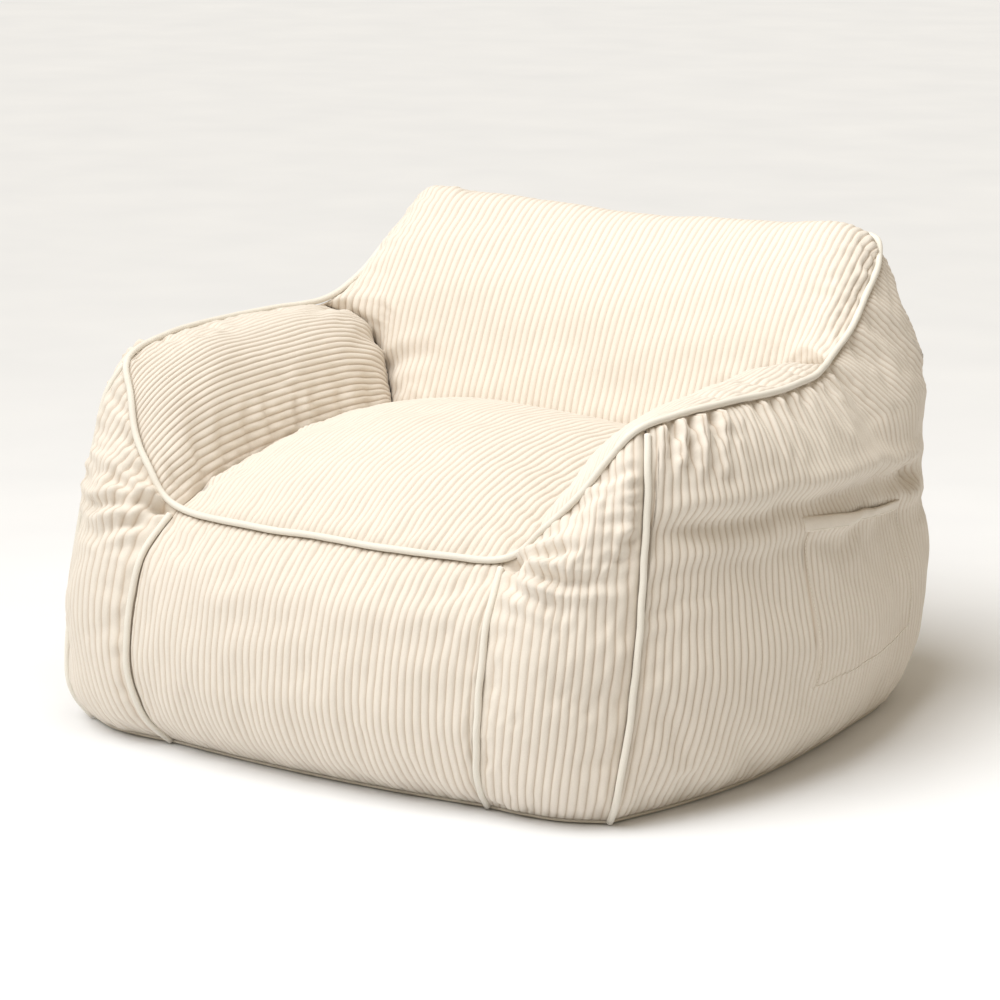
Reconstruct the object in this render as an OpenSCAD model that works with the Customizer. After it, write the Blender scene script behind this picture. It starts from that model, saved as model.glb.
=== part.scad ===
// Corduroy bean bag armchair. Millimetres, Z up, the sitter faces -Y.
// Origin: centre of the footprint, on the floor.

/* [Piping] */
// Diameter of the sewn piping
pipe_d = 9; // [7:0.5:10]
// Length steps of the rim piping
pipe_steps = 72; // [48:8:96]

/* [Cover] */
// Thickness of the corduroy panels
cloth_t = 3; // [2:0.5:3.5]
// Half width of the seam between two panels
seam_gap = 3.5; // [3:0.5:4]
// Rise of the stuffed seat above its seams
seat_dome = 62; // [50:2:66]
// Grid steps across each panel
panel_steps = 12; // [8:2:14]

/* [Pockets] */
// Width of each side pocket
pocket_w = 290; // [240:10:300]
// Depth of each side pocket
pocket_h = 215; // [160:5:230]
// How far each pocket stands off the side
pocket_gape = 13; // [12:1:16]

/* [Zip] */
// Half length of the zip
zip_half = 280; // [200:20:300]
// Pitch of the zip teeth
tooth_pitch = 5; // [4:0.5:6]

/* [Filling] */
// Thickness of the inner liners
liner_t = 1.2; // [1:0.1:1.6]
// Radius of the corners of the base filling
fill_r = 60; // [50:5:65]

/* [Hidden] */

cream = [0.93, 0.89, 0.80];
cream_dark = [0.88, 0.84, 0.74];
off_white = [0.92, 0.90, 0.85];
zip_z = 92;
zip_y = 430;
slider_x = zip_half - 14;

// Seam lines of the right half, from front to rear or from floor to top.
// The rim runs from the front centre over the arm to the rear centre.
RIM = [[-120, -366, 298], [0, -368, 299], [120, -366, 298], [246, -342, 301],
    [296, -332, 342], [332, -314, 382], [358, -292, 424], [388, -256, 462],
    [420, -135, 471], [435, -20, 470], [425, 85, 471], [396, 175, 475],
    [387, 247, 502], [380, 305, 543], [370, 352, 578], [346, 386, 596],
    [290, 412, 594], [150, 428, 582], [0, 432, 577], [-150, 428, 582]];
K_J = 2;
K_T = 6;
K_A = 10;
K_B = 14;
K_END = 17;
FRONT_SEAM = [[246, -380, 10], [253, -408, 48], [261, -423, 100], [263, -421, 150],
    [262, -411, 200], [258, -393, 250], [246, -342, 301]];
CORNER_SEAM = [[402, -349, 10], [416, -357, 55], [422, -345, 130], [423, -332, 200],
    [418, -312, 290], [411, -294, 365], [404, -280, 420], [388, -256, 462]];
REAR_SEAM = [[384, 398, 10], [402, 414, 92], [410, 420, 190], [404, 418, 290],
    [400, 416, 390], [388, 406, 480], [346, 386, 596]];
FLOOR_FRONT = [[-246, -380, 10], [-120, -392, 10], [0, -396, 10], [120, -392, 10], [246, -380, 10]];
FLOOR_CORNER = [[246, -380, 10], [298, -381, 10], [350, -374, 10], [402, -349, 10]];
FLOOR_SIDE = [[402, -349, 10], [440, -230, 10], [462, -95, 10], [462, 50, 10],
    [452, 170, 10], [436, 290, 10], [384, 398, 10]];
FLOOR_BACK = [[384, 398, 10], [290, 414, 10], [140, 420, 10], [0, 421, 10],
    [-140, 420, 10], [-290, 414, 10], [-384, 398, 10]];
ZIP_LINE = [[402, 414, zip_z], [350, 427, zip_z], [290, 432, zip_z], [200, 432, zip_z], [100, 432, zip_z],
    [0, 432, zip_z], [-100, 432, zip_z], [-200, 432, zip_z], [-290, 432, zip_z], [-350, 427, zip_z], [-402, 414, zip_z]];
SEAT_SIDE = [[246, -342, 301], [262, -230, 322], [266, -100, 336], [266, 30, 344], [262, 150, 348]];
SEAT_BACK = [[-262, 150, 348], [-140, 162, 350], [0, 166, 351], [140, 162, 350], [262, 150, 348]];
ARM_BACK = [[262, 150, 348], [292, 182, 372], [322, 205, 408], [356, 205, 446], [396, 175, 475]];
// The middle of the backrest, from the seat crease up to the rear rim.
BACK_MIDDLE = [[0, 166, 351], [0, 186, 392], [0, 206, 436], [0, 229, 482], [0, 262, 529], [0, 310, 575], [0, 365, 609], [0, 432, 577]];

function cr(p, s) = let(n = len(p) - 1, i = min(floor(s), n - 1), f = s - i,
        b = p[i], c = p[i + 1],
        a = i > 0 ? p[i - 1] : 2 * b - c,
        d = i < n - 1 ? p[i + 2] : 2 * c - b)
    0.5 * (2 * b + (c - a) * f + (2 * a - 5 * b + 4 * c - d) * f * f + (3 * b - a - 3 * c + d) * f * f * f);
function along(p, t) = cr(p, min(max(t, 0), 1) * (len(p) - 1));
function flip(p) = [-p[0], p[1], p[2]];
function unit(v) = v / max(norm(v), 1e-9);
function rim(k) = k < 0 ? flip(cr(RIM, 1 - k)) : cr(RIM, 1 + k);
function hump(t, p) = 1 - pow(abs(2 * t - 1), p);
function level(p, t) = along([for (q = p) [q, 0, 0]], t)[0];
// The side edge of the backrest: up the arm seam, then up the rim.
function back_side(t) = t < 0.42 ? along(ARM_BACK, t / 0.42) : rim(K_A + (t - 0.42) / 0.58 * (K_B - K_A));

// Edges of the panels, each for t from 0 to 1.
function low(p, t) =
    p == "front" ? along(FLOOR_FRONT, t) : p == "corner" ? along(FLOOR_CORNER, t)
    : p == "side" ? along(FLOOR_SIDE, t) : p == "upper" ? along(ZIP_LINE, t)
    : p == "lower" ? along(FLOOR_BACK, t) : p == "seat" ? rim(K_J * (2 * t - 1))
    : p == "back" ? along(SEAT_BACK, t) : rim(K_J + t * (K_T - K_J));
function high(p, t) =
    p == "front" ? rim(K_J * (2 * t - 1)) : p == "corner" ? rim(K_J + t * (K_T - K_J))
    : p == "side" ? rim(K_T + (0.45 * t + 0.55 * pow(t, 2.6)) * (K_B - K_T)) : p == "upper" ? rear_rim(t)
    : p == "lower" ? along(ZIP_LINE, t) : p == "seat" ? along(SEAT_BACK, t)
    : p == "back" ? rear_rim(1 - t) : back_side(0.42 * t);
function rear_rim(t) = t < 0.5 ? rim(K_B + 2 * t * (K_END - K_B)) : flip(rim(K_B + 2 * (1 - t) * (K_END - K_B)));
function first(p, t) =
    p == "front" ? flip(along(FRONT_SEAM, t)) : p == "corner" ? along(FRONT_SEAM, t)
    : p == "side" ? along(CORNER_SEAM, t) : p == "upper" ? cr(REAR_SEAM, 1 + 5 * t)
    : p == "lower" ? cr(REAR_SEAM, t) : p == "seat" ? flip(along(SEAT_SIDE, t))
    : p == "back" ? flip(back_side(t)) : along(SEAT_SIDE, t);
function last(p, t) =
    p == "front" ? along(FRONT_SEAM, t) : p == "corner" ? along(CORNER_SEAM, t)
    : p == "side" ? along(REAR_SEAM, t) : p == "upper" ? flip(cr(REAR_SEAM, 1 + 5 * t))
    : p == "lower" ? flip(cr(REAR_SEAM, t)) : p == "seat" ? along(SEAT_SIDE, t)
    : p == "back" ? back_side(t) : rim(K_T + t * (K_A - K_T));
// How the stuffing pushes each panel out between its seams.
function swell(p, u, v) =
    p == "front" ? [0, -9, 0] * hump(u, 2) * hump(v, 2)
    : p == "corner" ? [9, -14, 0] * hump(u, 2) * hump(v, 2)
    : p == "side" ? [1, 0, 0] * (level([0, 0, 0, 0, -2, -9, -10, 8, 14, 9, 0], v) * hump(u, 4)
        + level([0, 12, 20, 25, 27, 22, 15, 10, 6, 3, 0], v) * sin(180 * pow(u, 0.6)))
    : p == "upper" ? [0, 1, 0] * level([0, 4, 5, 3, 0, 5, 0], v) * hump(u, 4)
    : p == "lower" ? [0, 2, 0] * hump(u, 4) * hump(v, 2)
    : p == "seat" ? [0, 0, seat_dome] * hump(u, 2.4) * hump(v, 2.2)
    : p == "back" ? let(m = along(BACK_MIDDLE, v), e = back_side(v))
        [0, m[1] - e[1] - 16 * (1 - v) - 46 * v, m[2] - e[2] - 3 * (1 - v) + 19 * v] * hump(u, 6)
    : [-30, 0, 50] * sin(180 * u) * hump(v, 4);
function sheet_at(p, u, v) =
    (1 - v) * low(p, u) + v * high(p, u) + (1 - u) * first(p, v) + u * last(p, v)
    - (1 - u) * (1 - v) * low(p, 0) - u * (1 - v) * low(p, 1)
    - (1 - u) * v * high(p, 0) - u * v * high(p, 1) + swell(p, u, v);
function facing(p, u, v) = let(h = 0.01, a = max(u - h, 0), b = min(u + h, 1), c = max(v - h, 0), d = min(v + h, 1))
    unit(cross(sheet_at(p, b, v) - sheet_at(p, a, v), sheet_at(p, u, d) - sheet_at(p, u, c)));

// A closed sheet between an outer grid and an inner grid, n by m cells.
module closed_sheet(outer, inner, n, m) {
    w = m + 1;
    o = w * (n + 1);
    polyhedron(points = concat(outer, inner), convexity = 10, faces = concat(
        [for (i = [0:n - 1], j = [0:m - 1], k = [0, 1]) k == 0
            ? [i * w + j, i * w + j + 1, (i + 1) * w + j + 1]
            : [i * w + j, (i + 1) * w + j + 1, (i + 1) * w + j]],
        [for (i = [0:n - 1], j = [0:m - 1], k = [0, 1]) k == 0
            ? [o + i * w + j, o + (i + 1) * w + j + 1, o + i * w + j + 1]
            : [o + i * w + j, o + (i + 1) * w + j, o + (i + 1) * w + j + 1]],
        [for (i = [0:n - 1], k = [0, 1]) k == 0
            ? [i * w, (i + 1) * w, o + (i + 1) * w] : [i * w, o + (i + 1) * w, o + i * w]],
        [for (i = [0:n - 1], k = [0, 1]) k == 0
            ? [i * w + m, o + (i + 1) * w + m, (i + 1) * w + m] : [i * w + m, o + i * w + m, o + (i + 1) * w + m]],
        [for (j = [0:m - 1], k = [0, 1]) k == 0
            ? [j, o + j + 1, j + 1] : [j, o + j, o + j + 1]],
        [for (j = [0:m - 1], k = [0, 1]) k == 0
            ? [n * w + j, n * w + j + 1, o + n * w + j + 1] : [n * w + j, o + n * w + j + 1, o + n * w + j]]));
}

// One cut piece of the cover, held back from its seams on all four sides.
module panel(p, n, m, low_gap = 0, high_gap = 0) {
    lu = norm(first(p, 0.5) - last(p, 0.5));
    lv = norm(low(p, 0.5) - high(p, 0.5));
    eu = seam_gap / lu;
    function ev(u, more) = (seam_gap + more * (abs(sheet_at(p, u, 0.5)[0]) < zip_half + 20 ? 1 : 0)) / lv;
    us = [for (i = [0:n]) eu + (1 - 2 * eu) * i / n];
    outer = [for (u = us, j = [0:m]) sheet_at(p, u, ev(u, low_gap) + (1 - ev(u, low_gap) - ev(u, high_gap)) * j / m)];
    normals = [for (u = us, j = [0:m]) facing(p, u, ev(u, low_gap) + (1 - ev(u, low_gap) - ev(u, high_gap)) * j / m)];
    closed_sheet(outer, [for (i = [0:len(outer) - 1]) outer[i] - cloth_t * normals[i]], n, m);
}

// A round tube along a list of points; away points out of the seam at each one.
module tube(path, away, d, looped) {
    n = len(path);
    s = 8;
    function dir(i) = unit(looped ? path[(i + 1) % n] - path[(i + n - 1) % n]
        : path[min(i + 1, n - 1)] - path[max(i - 1, 0)]);
    pts = [for (i = [0:n - 1]) let(t = dir(i), x = unit(away[i] - (away[i] * t) * t), y = cross(t, x))
        for (k = [0:s - 1]) path[i] + d / 2 * (x * cos(360 * k / s) + y * sin(360 * k / s))];
    side = [for (i = [0:(looped ? n - 1 : n - 2)], k = [0:s - 1], h = [0, 1])
        let(a = i * s + k, b = i * s + (k + 1) % s, c = ((i + 1) % n) * s + k, e = ((i + 1) % n) * s + (k + 1) % s)
        h == 0 ? [a, c, e] : [a, e, b]];
    caps = looped ? [] : [[for (k = [0:s - 1]) k], [for (k = [0:s - 1]) (n - 1) * s + s - 1 - k]];
    polyhedron(points = pts, faces = concat(side, caps), convexity = 10);
}
function rim_away(p) = unit([p[0] / 2300, p[1] / 1940, (p[2] - 150) / 800]);
function wall_away(p) = unit([p[0] / 2300, p[1] / 1940, 0]);

module rim_piping() {
    color(off_white) {
        n = pipe_steps;
        half = [for (i = [0:n]) rim(K_END * i / n)];
        path = concat(half, [for (i = [n - 1:-1:1]) flip(half[i])]);
        tube([for (p = path) p + rim_away(p) * 7.1], [for (p = path) rim_away(p)], pipe_d, true);
    }
}
module seam_piping(line, n) {
    color(off_white) {
        path = [for (i = [0:n]) along(line, 0.012 + 0.945 * i / n)];
        tube([for (p = path) p + wall_away(p) * 6.4], [for (p = path) wall_away(p)], pipe_d, false);
    }
}
module front_piping_right() seam_piping(FRONT_SEAM, 22);
module front_piping_left() mirror([1, 0, 0]) front_piping_right();
module corner_piping_right() seam_piping(CORNER_SEAM, 28);
module corner_piping_left() mirror([1, 0, 0]) corner_piping_right();

module front_panel() color(cream) panel("front", panel_steps, panel_steps);
module front_corner_panel_right() color(cream) panel("corner", 8, panel_steps + 2);
module front_corner_panel_left() mirror([1, 0, 0]) front_corner_panel_right();
module side_panel_right() color(cream) panel("side", panel_steps + 6, panel_steps + 10);
module side_panel_left() mirror([1, 0, 0]) side_panel_right();
module back_panel_upper() color(cream_dark) panel("upper", panel_steps + 6, panel_steps, 4, 0);
module back_panel_lower() color(cream_dark) panel("lower", panel_steps + 6, 4, 0, 4);
module seat_panel() color(cream) panel("seat", panel_steps, panel_steps);
module backrest_panel() color(cream) panel("back", panel_steps + 2, panel_steps + 8);
module arm_panel_right() color(cream) panel("arm", panel_steps, panel_steps);
module arm_panel_left() mirror([1, 0, 0]) arm_panel_right();
module base_panel() {
    color(cream_dark) {
        half = concat([for (i = [5:10]) along(FLOOR_FRONT, i / 10)], [for (i = [1:6]) along(FLOOR_CORNER, i / 6)],
            [for (i = [1:14]) along(FLOOR_SIDE, i / 14)], [for (i = [1:6]) along(FLOOR_BACK, i / 12)]);
        all = concat(half, [for (i = [len(half) - 2:-1:1]) flip(half[i])]);
        linear_extrude(height = 5) polygon([for (p = all) [p[0] * 0.985, p[1] * 0.985]]);
    }
}

// Patch pockets: sewn on three edges, open along the top.
module pocket_sheet(low_f, high_f, lift_in, t, n, m) {
    u_mid = 0.565;
    du = pocket_w / 2 / 740;
    // The mouth droops a little towards the rear.
    function v_at(u, f) = 0.26 + f * pocket_h / 215 * (0.4 - 0.55 * pow(u - u_mid + du, 2));
    function stand(u, f) = lift_in + pocket_gape * hump((u - u_mid + du) / (2 * du), 4) * min(1, 0.05 + 2.2 * f);
    grid = [for (i = [0:n], j = [0:m]) let(u = u_mid - du + 2 * du * i / n, f = low_f + (high_f - low_f) * j / m) [u, f]];
    outer = [for (g = grid) sheet_at("side", g[0], v_at(g[0], g[1])) + facing("side", g[0], v_at(g[0], g[1])) * (stand(g[0], g[1]) + t)];
    inner = [for (g = grid) sheet_at("side", g[0], v_at(g[0], g[1])) + facing("side", g[0], v_at(g[0], g[1])) * stand(g[0], g[1])];
    closed_sheet(outer, inner, n, m);
}
module pocket_right() color(cream) pocket_sheet(0, 0.935, 0.8, 3, 12, 8);
module pocket_left() mirror([1, 0, 0]) pocket_right();
module pocket_hem_right() color(off_white) pocket_sheet(0.941, 1, 0.8, 4, 12, 2);
module pocket_hem_left() mirror([1, 0, 0]) pocket_hem_right();

// Zip low in the back: tapes behind the cloth, teeth in the slot between the panels.
module zip_tape_upper() color(cream_dark) translate([-zip_half, zip_y - 7, zip_z + 1.2]) cube([2 * zip_half, 0.8, 13]);
module zip_tape_lower() color(cream_dark) translate([-zip_half, zip_y - 7, zip_z - 14.2]) cube([2 * zip_half, 0.8, 13]);
module comb(shift) {
    n = floor((2 * zip_half - 24) / tooth_pitch);
    w = tooth_pitch * 0.4;
    translate([0, zip_y - 3.2, 0]) rotate([90, 0, 0]) linear_extrude(height = 2.6)
        polygon(concat([[-zip_half + 10, 3.2], [-zip_half + 10, 1]],
            [for (i = [0:n - 1], k = [0:3]) let(x = -zip_half + 12 + shift + i * tooth_pitch)
                k == 0 ? [x, 1] : k == 1 ? [x, -0.9] : k == 2 ? [x + w, -0.9] : [x + w, 1]],
            [[zip_half - 8, 1], [zip_half - 8, 3.2]]));
}
module zip_teeth_upper() color([0.82, 0.79, 0.72]) translate([0, 0, zip_z]) comb(0);
module zip_teeth_lower() color([0.82, 0.79, 0.72]) translate([0, 0, zip_z]) mirror([0, 0, 1]) comb(tooth_pitch / 2);
module zip_stop(side) color([0.75, 0.75, 0.74]) translate([side * (zip_half - 4.5) - 1.5, zip_y - 6, zip_z - 3.6]) cube([3, 3.4, 7.2]);
module zip_stop_left() zip_stop(-1);
module zip_stop_right() zip_stop(1);
module zip_slider() {
    color([0.75, 0.75, 0.74]) translate([slider_x, zip_y, zip_z]) {
        difference() {
            translate([-7, -5.6, -5.4]) cube([14, 4.2, 10.8]);
            translate([-8, -6.6, -3.9]) cube([16, 4, 7.8]);
        }
        // bridge that holds the pull
        difference() {
            translate([-4, -1.6, -1.1]) cube([8, 4.2, 2.2]);
            translate([-2.6, -1.4, -2]) cube([5.2, 2.8, 4]);
        }
    }
}
module zip_pull() {
    color([0.78, 0.78, 0.77]) translate([slider_x, zip_y, zip_z]) {
        translate([0, 0.1, -3.4]) cylinder(r = 0.9, h = 6.8, $fn = 24);
        translate([-9, -0.8, -3.4]) cube([9.5, 1.8, 1.8]);
        translate([-9, -0.8, 1.6]) cube([9.5, 1.8, 1.8]);
        difference() {
            translate([-30, -0.8, -4]) cube([22, 1.8, 8]);
            translate([-25, -2, 0]) rotate([-90, 0, 0]) cylinder(r = 2.2, h = 4, $fn = 24);
        }
    }
}

// Stuffing: one block under the seat, a bolster in each arm and one in the back.
module base_body(r) {
    hull() {
        for (s = [-1, 1]) {
            translate([s * 352, -318, 76]) sphere(r = r);
            translate([s * 360, -285, 205]) sphere(r = r);
            translate([s * 200, -350, 130]) sphere(r = r);
            translate([s * 398, -30, 78]) sphere(r = r);
            translate([s * 400, -30, 180]) sphere(r = r);
            translate([s * 340, 342, 76]) sphere(r = r);
            translate([s * 344, 346, 205]) sphere(r = r);
        }
        translate([0, -40, 198]) scale([1.35, 1.5, 1]) sphere(r = 110 + r, $fn = 28);
    }
}
module back_body(r) {
    hull() for (s = [-1, 1]) {
        translate([s * 285, 325, 395]) sphere(r = r + 8);
        translate([s * 300, 350, 420]) sphere(r = r);
        translate([s * 300, 300, 372]) sphere(r = r);
        translate([s * 300, 352, 372]) sphere(r = r);
        translate([s * 270, 382, 520]) sphere(r = r - 22);
        translate([s * 292, 382, 526]) sphere(r = r - 27);
    }
}
module arm_body(r) {
    hull() {
        translate([362, -200, 398]) scale([0.8, 0.8, 0.85]) sphere(r = r);
        translate([376, -60, 399]) scale([1.05, 1, 1]) sphere(r = r);
        translate([374, 70, 400]) scale([1, 1, 1]) sphere(r = r);
        translate([366, 130, 404]) scale([0.7, 0.7, 0.75]) sphere(r = r);
        for (y = [-150, 95]) {
            translate([394, y, 362]) scale([0.72, 0.8, 0.9]) sphere(r = r);
            translate([334, y, 376]) scale([0.6, 0.8, 0.7]) sphere(r = r);
        }
    }
}
module filling_base() color([0.97, 0.97, 0.96]) base_body(fill_r - 3, $fn = 20);
module filling_back() color([0.97, 0.97, 0.96]) back_body(fill_r - 3, $fn = 20);
module filling_arm_right() color([0.97, 0.97, 0.96]) arm_body(fill_r - 3, $fn = 20);
module filling_arm_left() mirror([1, 0, 0]) filling_arm_right();
module liner_base() color([0.90, 0.90, 0.88]) difference() { base_body(fill_r - 1 + liner_t, $fn = 20); base_body(fill_r - 1, $fn = 20); }
module liner_back() color([0.90, 0.90, 0.88]) difference() { back_body(fill_r - 1 + liner_t, $fn = 20); back_body(fill_r - 1, $fn = 20); }
module liner_arm_right() color([0.90, 0.90, 0.88]) difference() { arm_body(fill_r - 1 + liner_t, $fn = 20); arm_body(fill_r - 1, $fn = 20); }
module liner_arm_left() mirror([1, 0, 0]) liner_arm_right();

front_panel();
front_corner_panel_left();
front_corner_panel_right();
side_panel_left();
side_panel_right();
back_panel_upper();
back_panel_lower();
seat_panel();
backrest_panel();
arm_panel_left();
arm_panel_right();
base_panel();
rim_piping();
front_piping_left();
front_piping_right();
corner_piping_left();
corner_piping_right();
pocket_left();
pocket_right();
pocket_hem_left();
pocket_hem_right();
zip_tape_upper();
zip_tape_lower();
zip_teeth_upper();
zip_teeth_lower();
zip_stop_left();
zip_stop_right();
zip_slider();
zip_pull();
liner_base();
liner_back();
liner_arm_left();
liner_arm_right();
filling_base();
filling_back();
filling_arm_left();
filling_arm_right();
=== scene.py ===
"""Corduroy bean bag armchair: a sewn cover of corduroy panels over loose filling, with piped seams."""
import logging
import math
from dataclasses import dataclass, field
from enum import Enum
from typing import Callable, Optional, Sequence

import bpy
import numpy as np
from mathutils import Matrix, Vector


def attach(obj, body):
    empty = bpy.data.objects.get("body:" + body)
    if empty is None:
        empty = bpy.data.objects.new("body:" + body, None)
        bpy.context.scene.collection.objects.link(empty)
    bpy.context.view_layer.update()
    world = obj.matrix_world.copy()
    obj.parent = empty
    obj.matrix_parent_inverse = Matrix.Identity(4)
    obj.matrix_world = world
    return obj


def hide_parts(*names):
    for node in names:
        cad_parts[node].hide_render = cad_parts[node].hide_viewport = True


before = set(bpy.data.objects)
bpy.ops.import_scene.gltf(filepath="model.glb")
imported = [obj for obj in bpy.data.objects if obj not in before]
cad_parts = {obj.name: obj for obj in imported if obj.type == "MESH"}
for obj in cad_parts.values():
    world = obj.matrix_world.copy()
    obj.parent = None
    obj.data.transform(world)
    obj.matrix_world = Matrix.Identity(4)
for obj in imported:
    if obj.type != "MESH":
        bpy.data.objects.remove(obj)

LOG = logging.getLogger("bean_bag")
MM = 0.001
Array = np.ndarray
EdgeFn = Callable[[Array], Array]


class Side(Enum):
    """The half of the chair that a piece belongs to, as the sign of its X."""

    RIGHT = 1
    LEFT = -1

    @property
    def word(self) -> str:
        """The side as it is written in a node's name."""
        return self.name.lower()


class Seam(Enum):
    """How two panels meet: (depth in mm, reach in mm) of the dip along the seam."""

    PIPED = (3.6, 7.0)
    RIM = (2.2, 7.0)
    PLAIN = (5.0, 12.0)
    CREASE = (8.5, 13.0)
    FLOOR = (15.0, 16.0)
    PATCHED = (0.9, 5.0)
    OPEN = (0.0, 5.0)

    @property
    def depth(self) -> float:
        """Depth of the dip in metres."""
        return self.value[0] * MM

    @property
    def reach(self) -> float:
        """Distance in metres over which the dip fades."""
        return self.value[1] * MM


# ---------------------------------------------------------------- seam lines


def unit(v: Array) -> Array:
    """Vectors scaled to length one."""
    return v / np.maximum(np.linalg.norm(v, axis=-1, keepdims=True), 1e-9)


def hump(t: Array, power: float) -> Array:
    """A rise from 0 at t = 0 to 1 in the middle and back to 0 at t = 1."""
    return 1 - np.abs(2 * t - 1) ** power


def smooth(t: Array) -> Array:
    """A soft step from 0 to 1 as t goes from 0 to 1."""
    t = np.clip(t, 0, 1)
    return t * t * (3 - 2 * t)


@dataclass(frozen=True)
class Line:
    """A smooth line through points given in millimetres."""

    points: tuple

    def knot(self, s: Array) -> Array:
        """Points on the line, in metres.

        Args:
            s: position counted in points, from 0 to the last point.

        Returns:
            An array of points, one for each position.
        """
        p = np.array(self.points, float) * MM
        n = len(p) - 1
        q = np.vstack([2 * p[:1] - p[1:2], p, 2 * p[-1:] - p[-2:-1]])
        s = np.clip(np.asarray(s, float), 0, n)
        i = np.minimum(np.floor(s).astype(int), n - 1)
        f = (s - i)[..., None]
        a, b, c, d = q[i], q[i + 1], q[i + 2], q[i + 3]
        return 0.5 * (2 * b + (c - a) * f + (2 * a - 5 * b + 4 * c - d) * f**2 + (3 * b - a - 3 * c + d)
                      * f**3)

    def at(self, t: Array) -> Array:
        """Points on the line for t from 0 to 1."""
        return self.knot(np.clip(t, 0, 1) * (len(self.points) - 1))


def level(values: Sequence[float], t: Array) -> Array:
    """A smooth height in metres that passes through evenly spaced values in millimetres."""
    return Line(tuple((v, 0, 0) for v in values)).at(t)[..., 0]


@dataclass(frozen=True)
class SeamNet:
    """Every seam line of the cover's right half, the same as the ones the frame was drawn with.

    Attributes:
        zip_open: how far each edge of the zip's seam stands back from the teeth, in metres.
        zip_fade: the length over which that opening closes at each end.
        zip_end: how far right the opening runs.
        pull_end: how far left it runs, where the open slider's pull tab needs room.
        to_front, to_arm, to_back, to_ear, to_end: where the other seams meet the rim, counted in its points.
        arm_share: the share of the backrest's side edge that runs up the arm's seam.
    """

    rim_points: tuple = (
        (-120, -366, 298), (0, -368, 299), (120, -366, 298), (246, -342, 301),
        (296, -332, 342), (332, -314, 382), (358, -292, 424), (388, -256, 462),
        (420, -135, 471), (435, -20, 470), (425, 85, 471), (396, 175, 475),
        (387, 247, 502), (380, 305, 543), (370, 352, 578), (346, 386, 596),
        (290, 412, 594), (150, 428, 582), (0, 432, 577), (-150, 428, 582))
    front_seam: Line = Line(((246, -380, 10), (253, -408, 48), (261, -423, 100), (263, -421, 150),
                             (262, -411, 200), (258, -393, 250), (246, -342, 301)))
    corner_seam: Line = Line(((402, -349, 10), (416, -357, 55), (422, -345, 130), (423, -332, 200),
                              (418, -312, 290), (411, -294, 365), (404, -280, 420), (388, -256, 462)))
    rear_seam: Line = Line(((384, 398, 10), (402, 414, 92), (410, 420, 190), (404, 418, 290),
                            (400, 416, 390), (388, 406, 480), (346, 386, 596)))
    floor_front: Line = Line(((-246, -380, 10), (-120, -392, 10), (0, -396, 10), (120, -392, 10),
                              (246, -380, 10)))
    floor_corner: Line = Line(((246, -380, 10), (298, -381, 10), (350, -374, 10), (402, -349, 10)))
    floor_side: Line = Line(((402, -349, 10), (440, -230, 10), (462, -95, 10), (462, 50, 10),
                             (452, 170, 10), (436, 290, 10), (384, 398, 10)))
    floor_back: Line = Line(((384, 398, 10), (290, 414, 10), (140, 420, 10), (0, 421, 10),
                             (-140, 420, 10), (-290, 414, 10), (-384, 398, 10)))
    zip_line: Line = Line(((402, 414, 92), (350, 427, 92), (290, 432, 92), (200, 432, 92), (100, 432, 92),
                           (0, 432, 92), (-100, 432, 92), (-200, 432, 92), (-290, 432, 92), (-350, 427, 92),
                           (-402, 414, 92)))
    seat_side: Line = Line(((246, -342, 301), (262, -230, 322), (266, -100, 336), (266, 30, 344),
                            (262, 150, 348)))
    seat_back: Line = Line(((-262, 150, 348), (-140, 162, 350), (0, 166, 351), (140, 162, 350),
                            (262, 150, 348)))
    arm_back: Line = Line(((262, 150, 348), (292, 182, 372), (322, 205, 408), (356, 205, 446),
                           (396, 175, 475)))
    back_middle: Line = Line(((0, 166, 351), (0, 186, 392), (0, 206, 436), (0, 229, 482), (0, 262, 529),
                              (0, 310, 575),
                              (0, 365, 609), (0, 432, 577)))
    zip_open: float = 0.0062
    zip_fade: float = 0.014
    zip_end: float = 0.2845
    pull_end: float = 0.306
    to_front: int = 2
    to_arm: int = 6
    to_back: int = 10
    to_ear: int = 14
    to_end: int = 17
    arm_share: float = 0.42

    def rim(self, k: Array) -> Array:
        """Points on the rim, k counted in points from the front centre; a negative k is the left half."""
        k = np.asarray(k, float)
        p = Line(self.rim_points).knot(1 + np.abs(k))
        p[..., 0] *= np.where(k < 0, -1.0, 1.0)
        return p

    def zip_edge(self, up: int) -> EdgeFn:
        """The zip's seam, opened a little above (up = 1) or below (up = -1) the teeth."""
        def edge(t: Array) -> Array:
            """A point of the opened edge."""
            p = self.zip_line.at(np.asarray(t, float)).copy()
            end = np.where(p[..., 0] < 0, self.pull_end, self.zip_end)
            p[..., 2] += up * self.zip_open * smooth((end - np.abs(p[..., 0])) / self.zip_fade)
            return p
        return edge

    def rear_rim(self, t: Array) -> Array:
        """The rim behind the backrest, from the right ear at t = 0 to the left ear at t = 1."""
        h = 1 - np.abs(2 * t - 1)
        p = self.rim(self.to_ear + h * (self.to_end - self.to_ear))
        p[..., 0] *= np.where(t > 0.5, -1.0, 1.0)
        return p

    def back_side(self, t: Array) -> Array:
        """The side edge of the backrest: up the arm's seam, then up the rim."""
        a = self.arm_back.at(t / self.arm_share)
        b = self.rim(self.to_back + np.clip((t - self.arm_share) / (1 - self.arm_share), 0, 1)
                     * (self.to_ear - self.to_back))
        return np.where((t < self.arm_share)[..., None], a, b)


NET = SeamNet()


def mirrored(fn: EdgeFn) -> EdgeFn:
    """The same line on the other half."""
    def other(t: Array) -> Array:
        """The mirrored point."""
        return fn(t) * np.array([-1.0, 1.0, 1.0])
    return other


def out_of_rim(p: Array) -> Array:
    """The way out of a seam that runs along a top edge."""
    return unit(np.stack([p[..., 0] / 2.3, p[..., 1] / 1.94, (p[..., 2] - 0.15) / 0.8], -1))


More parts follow.
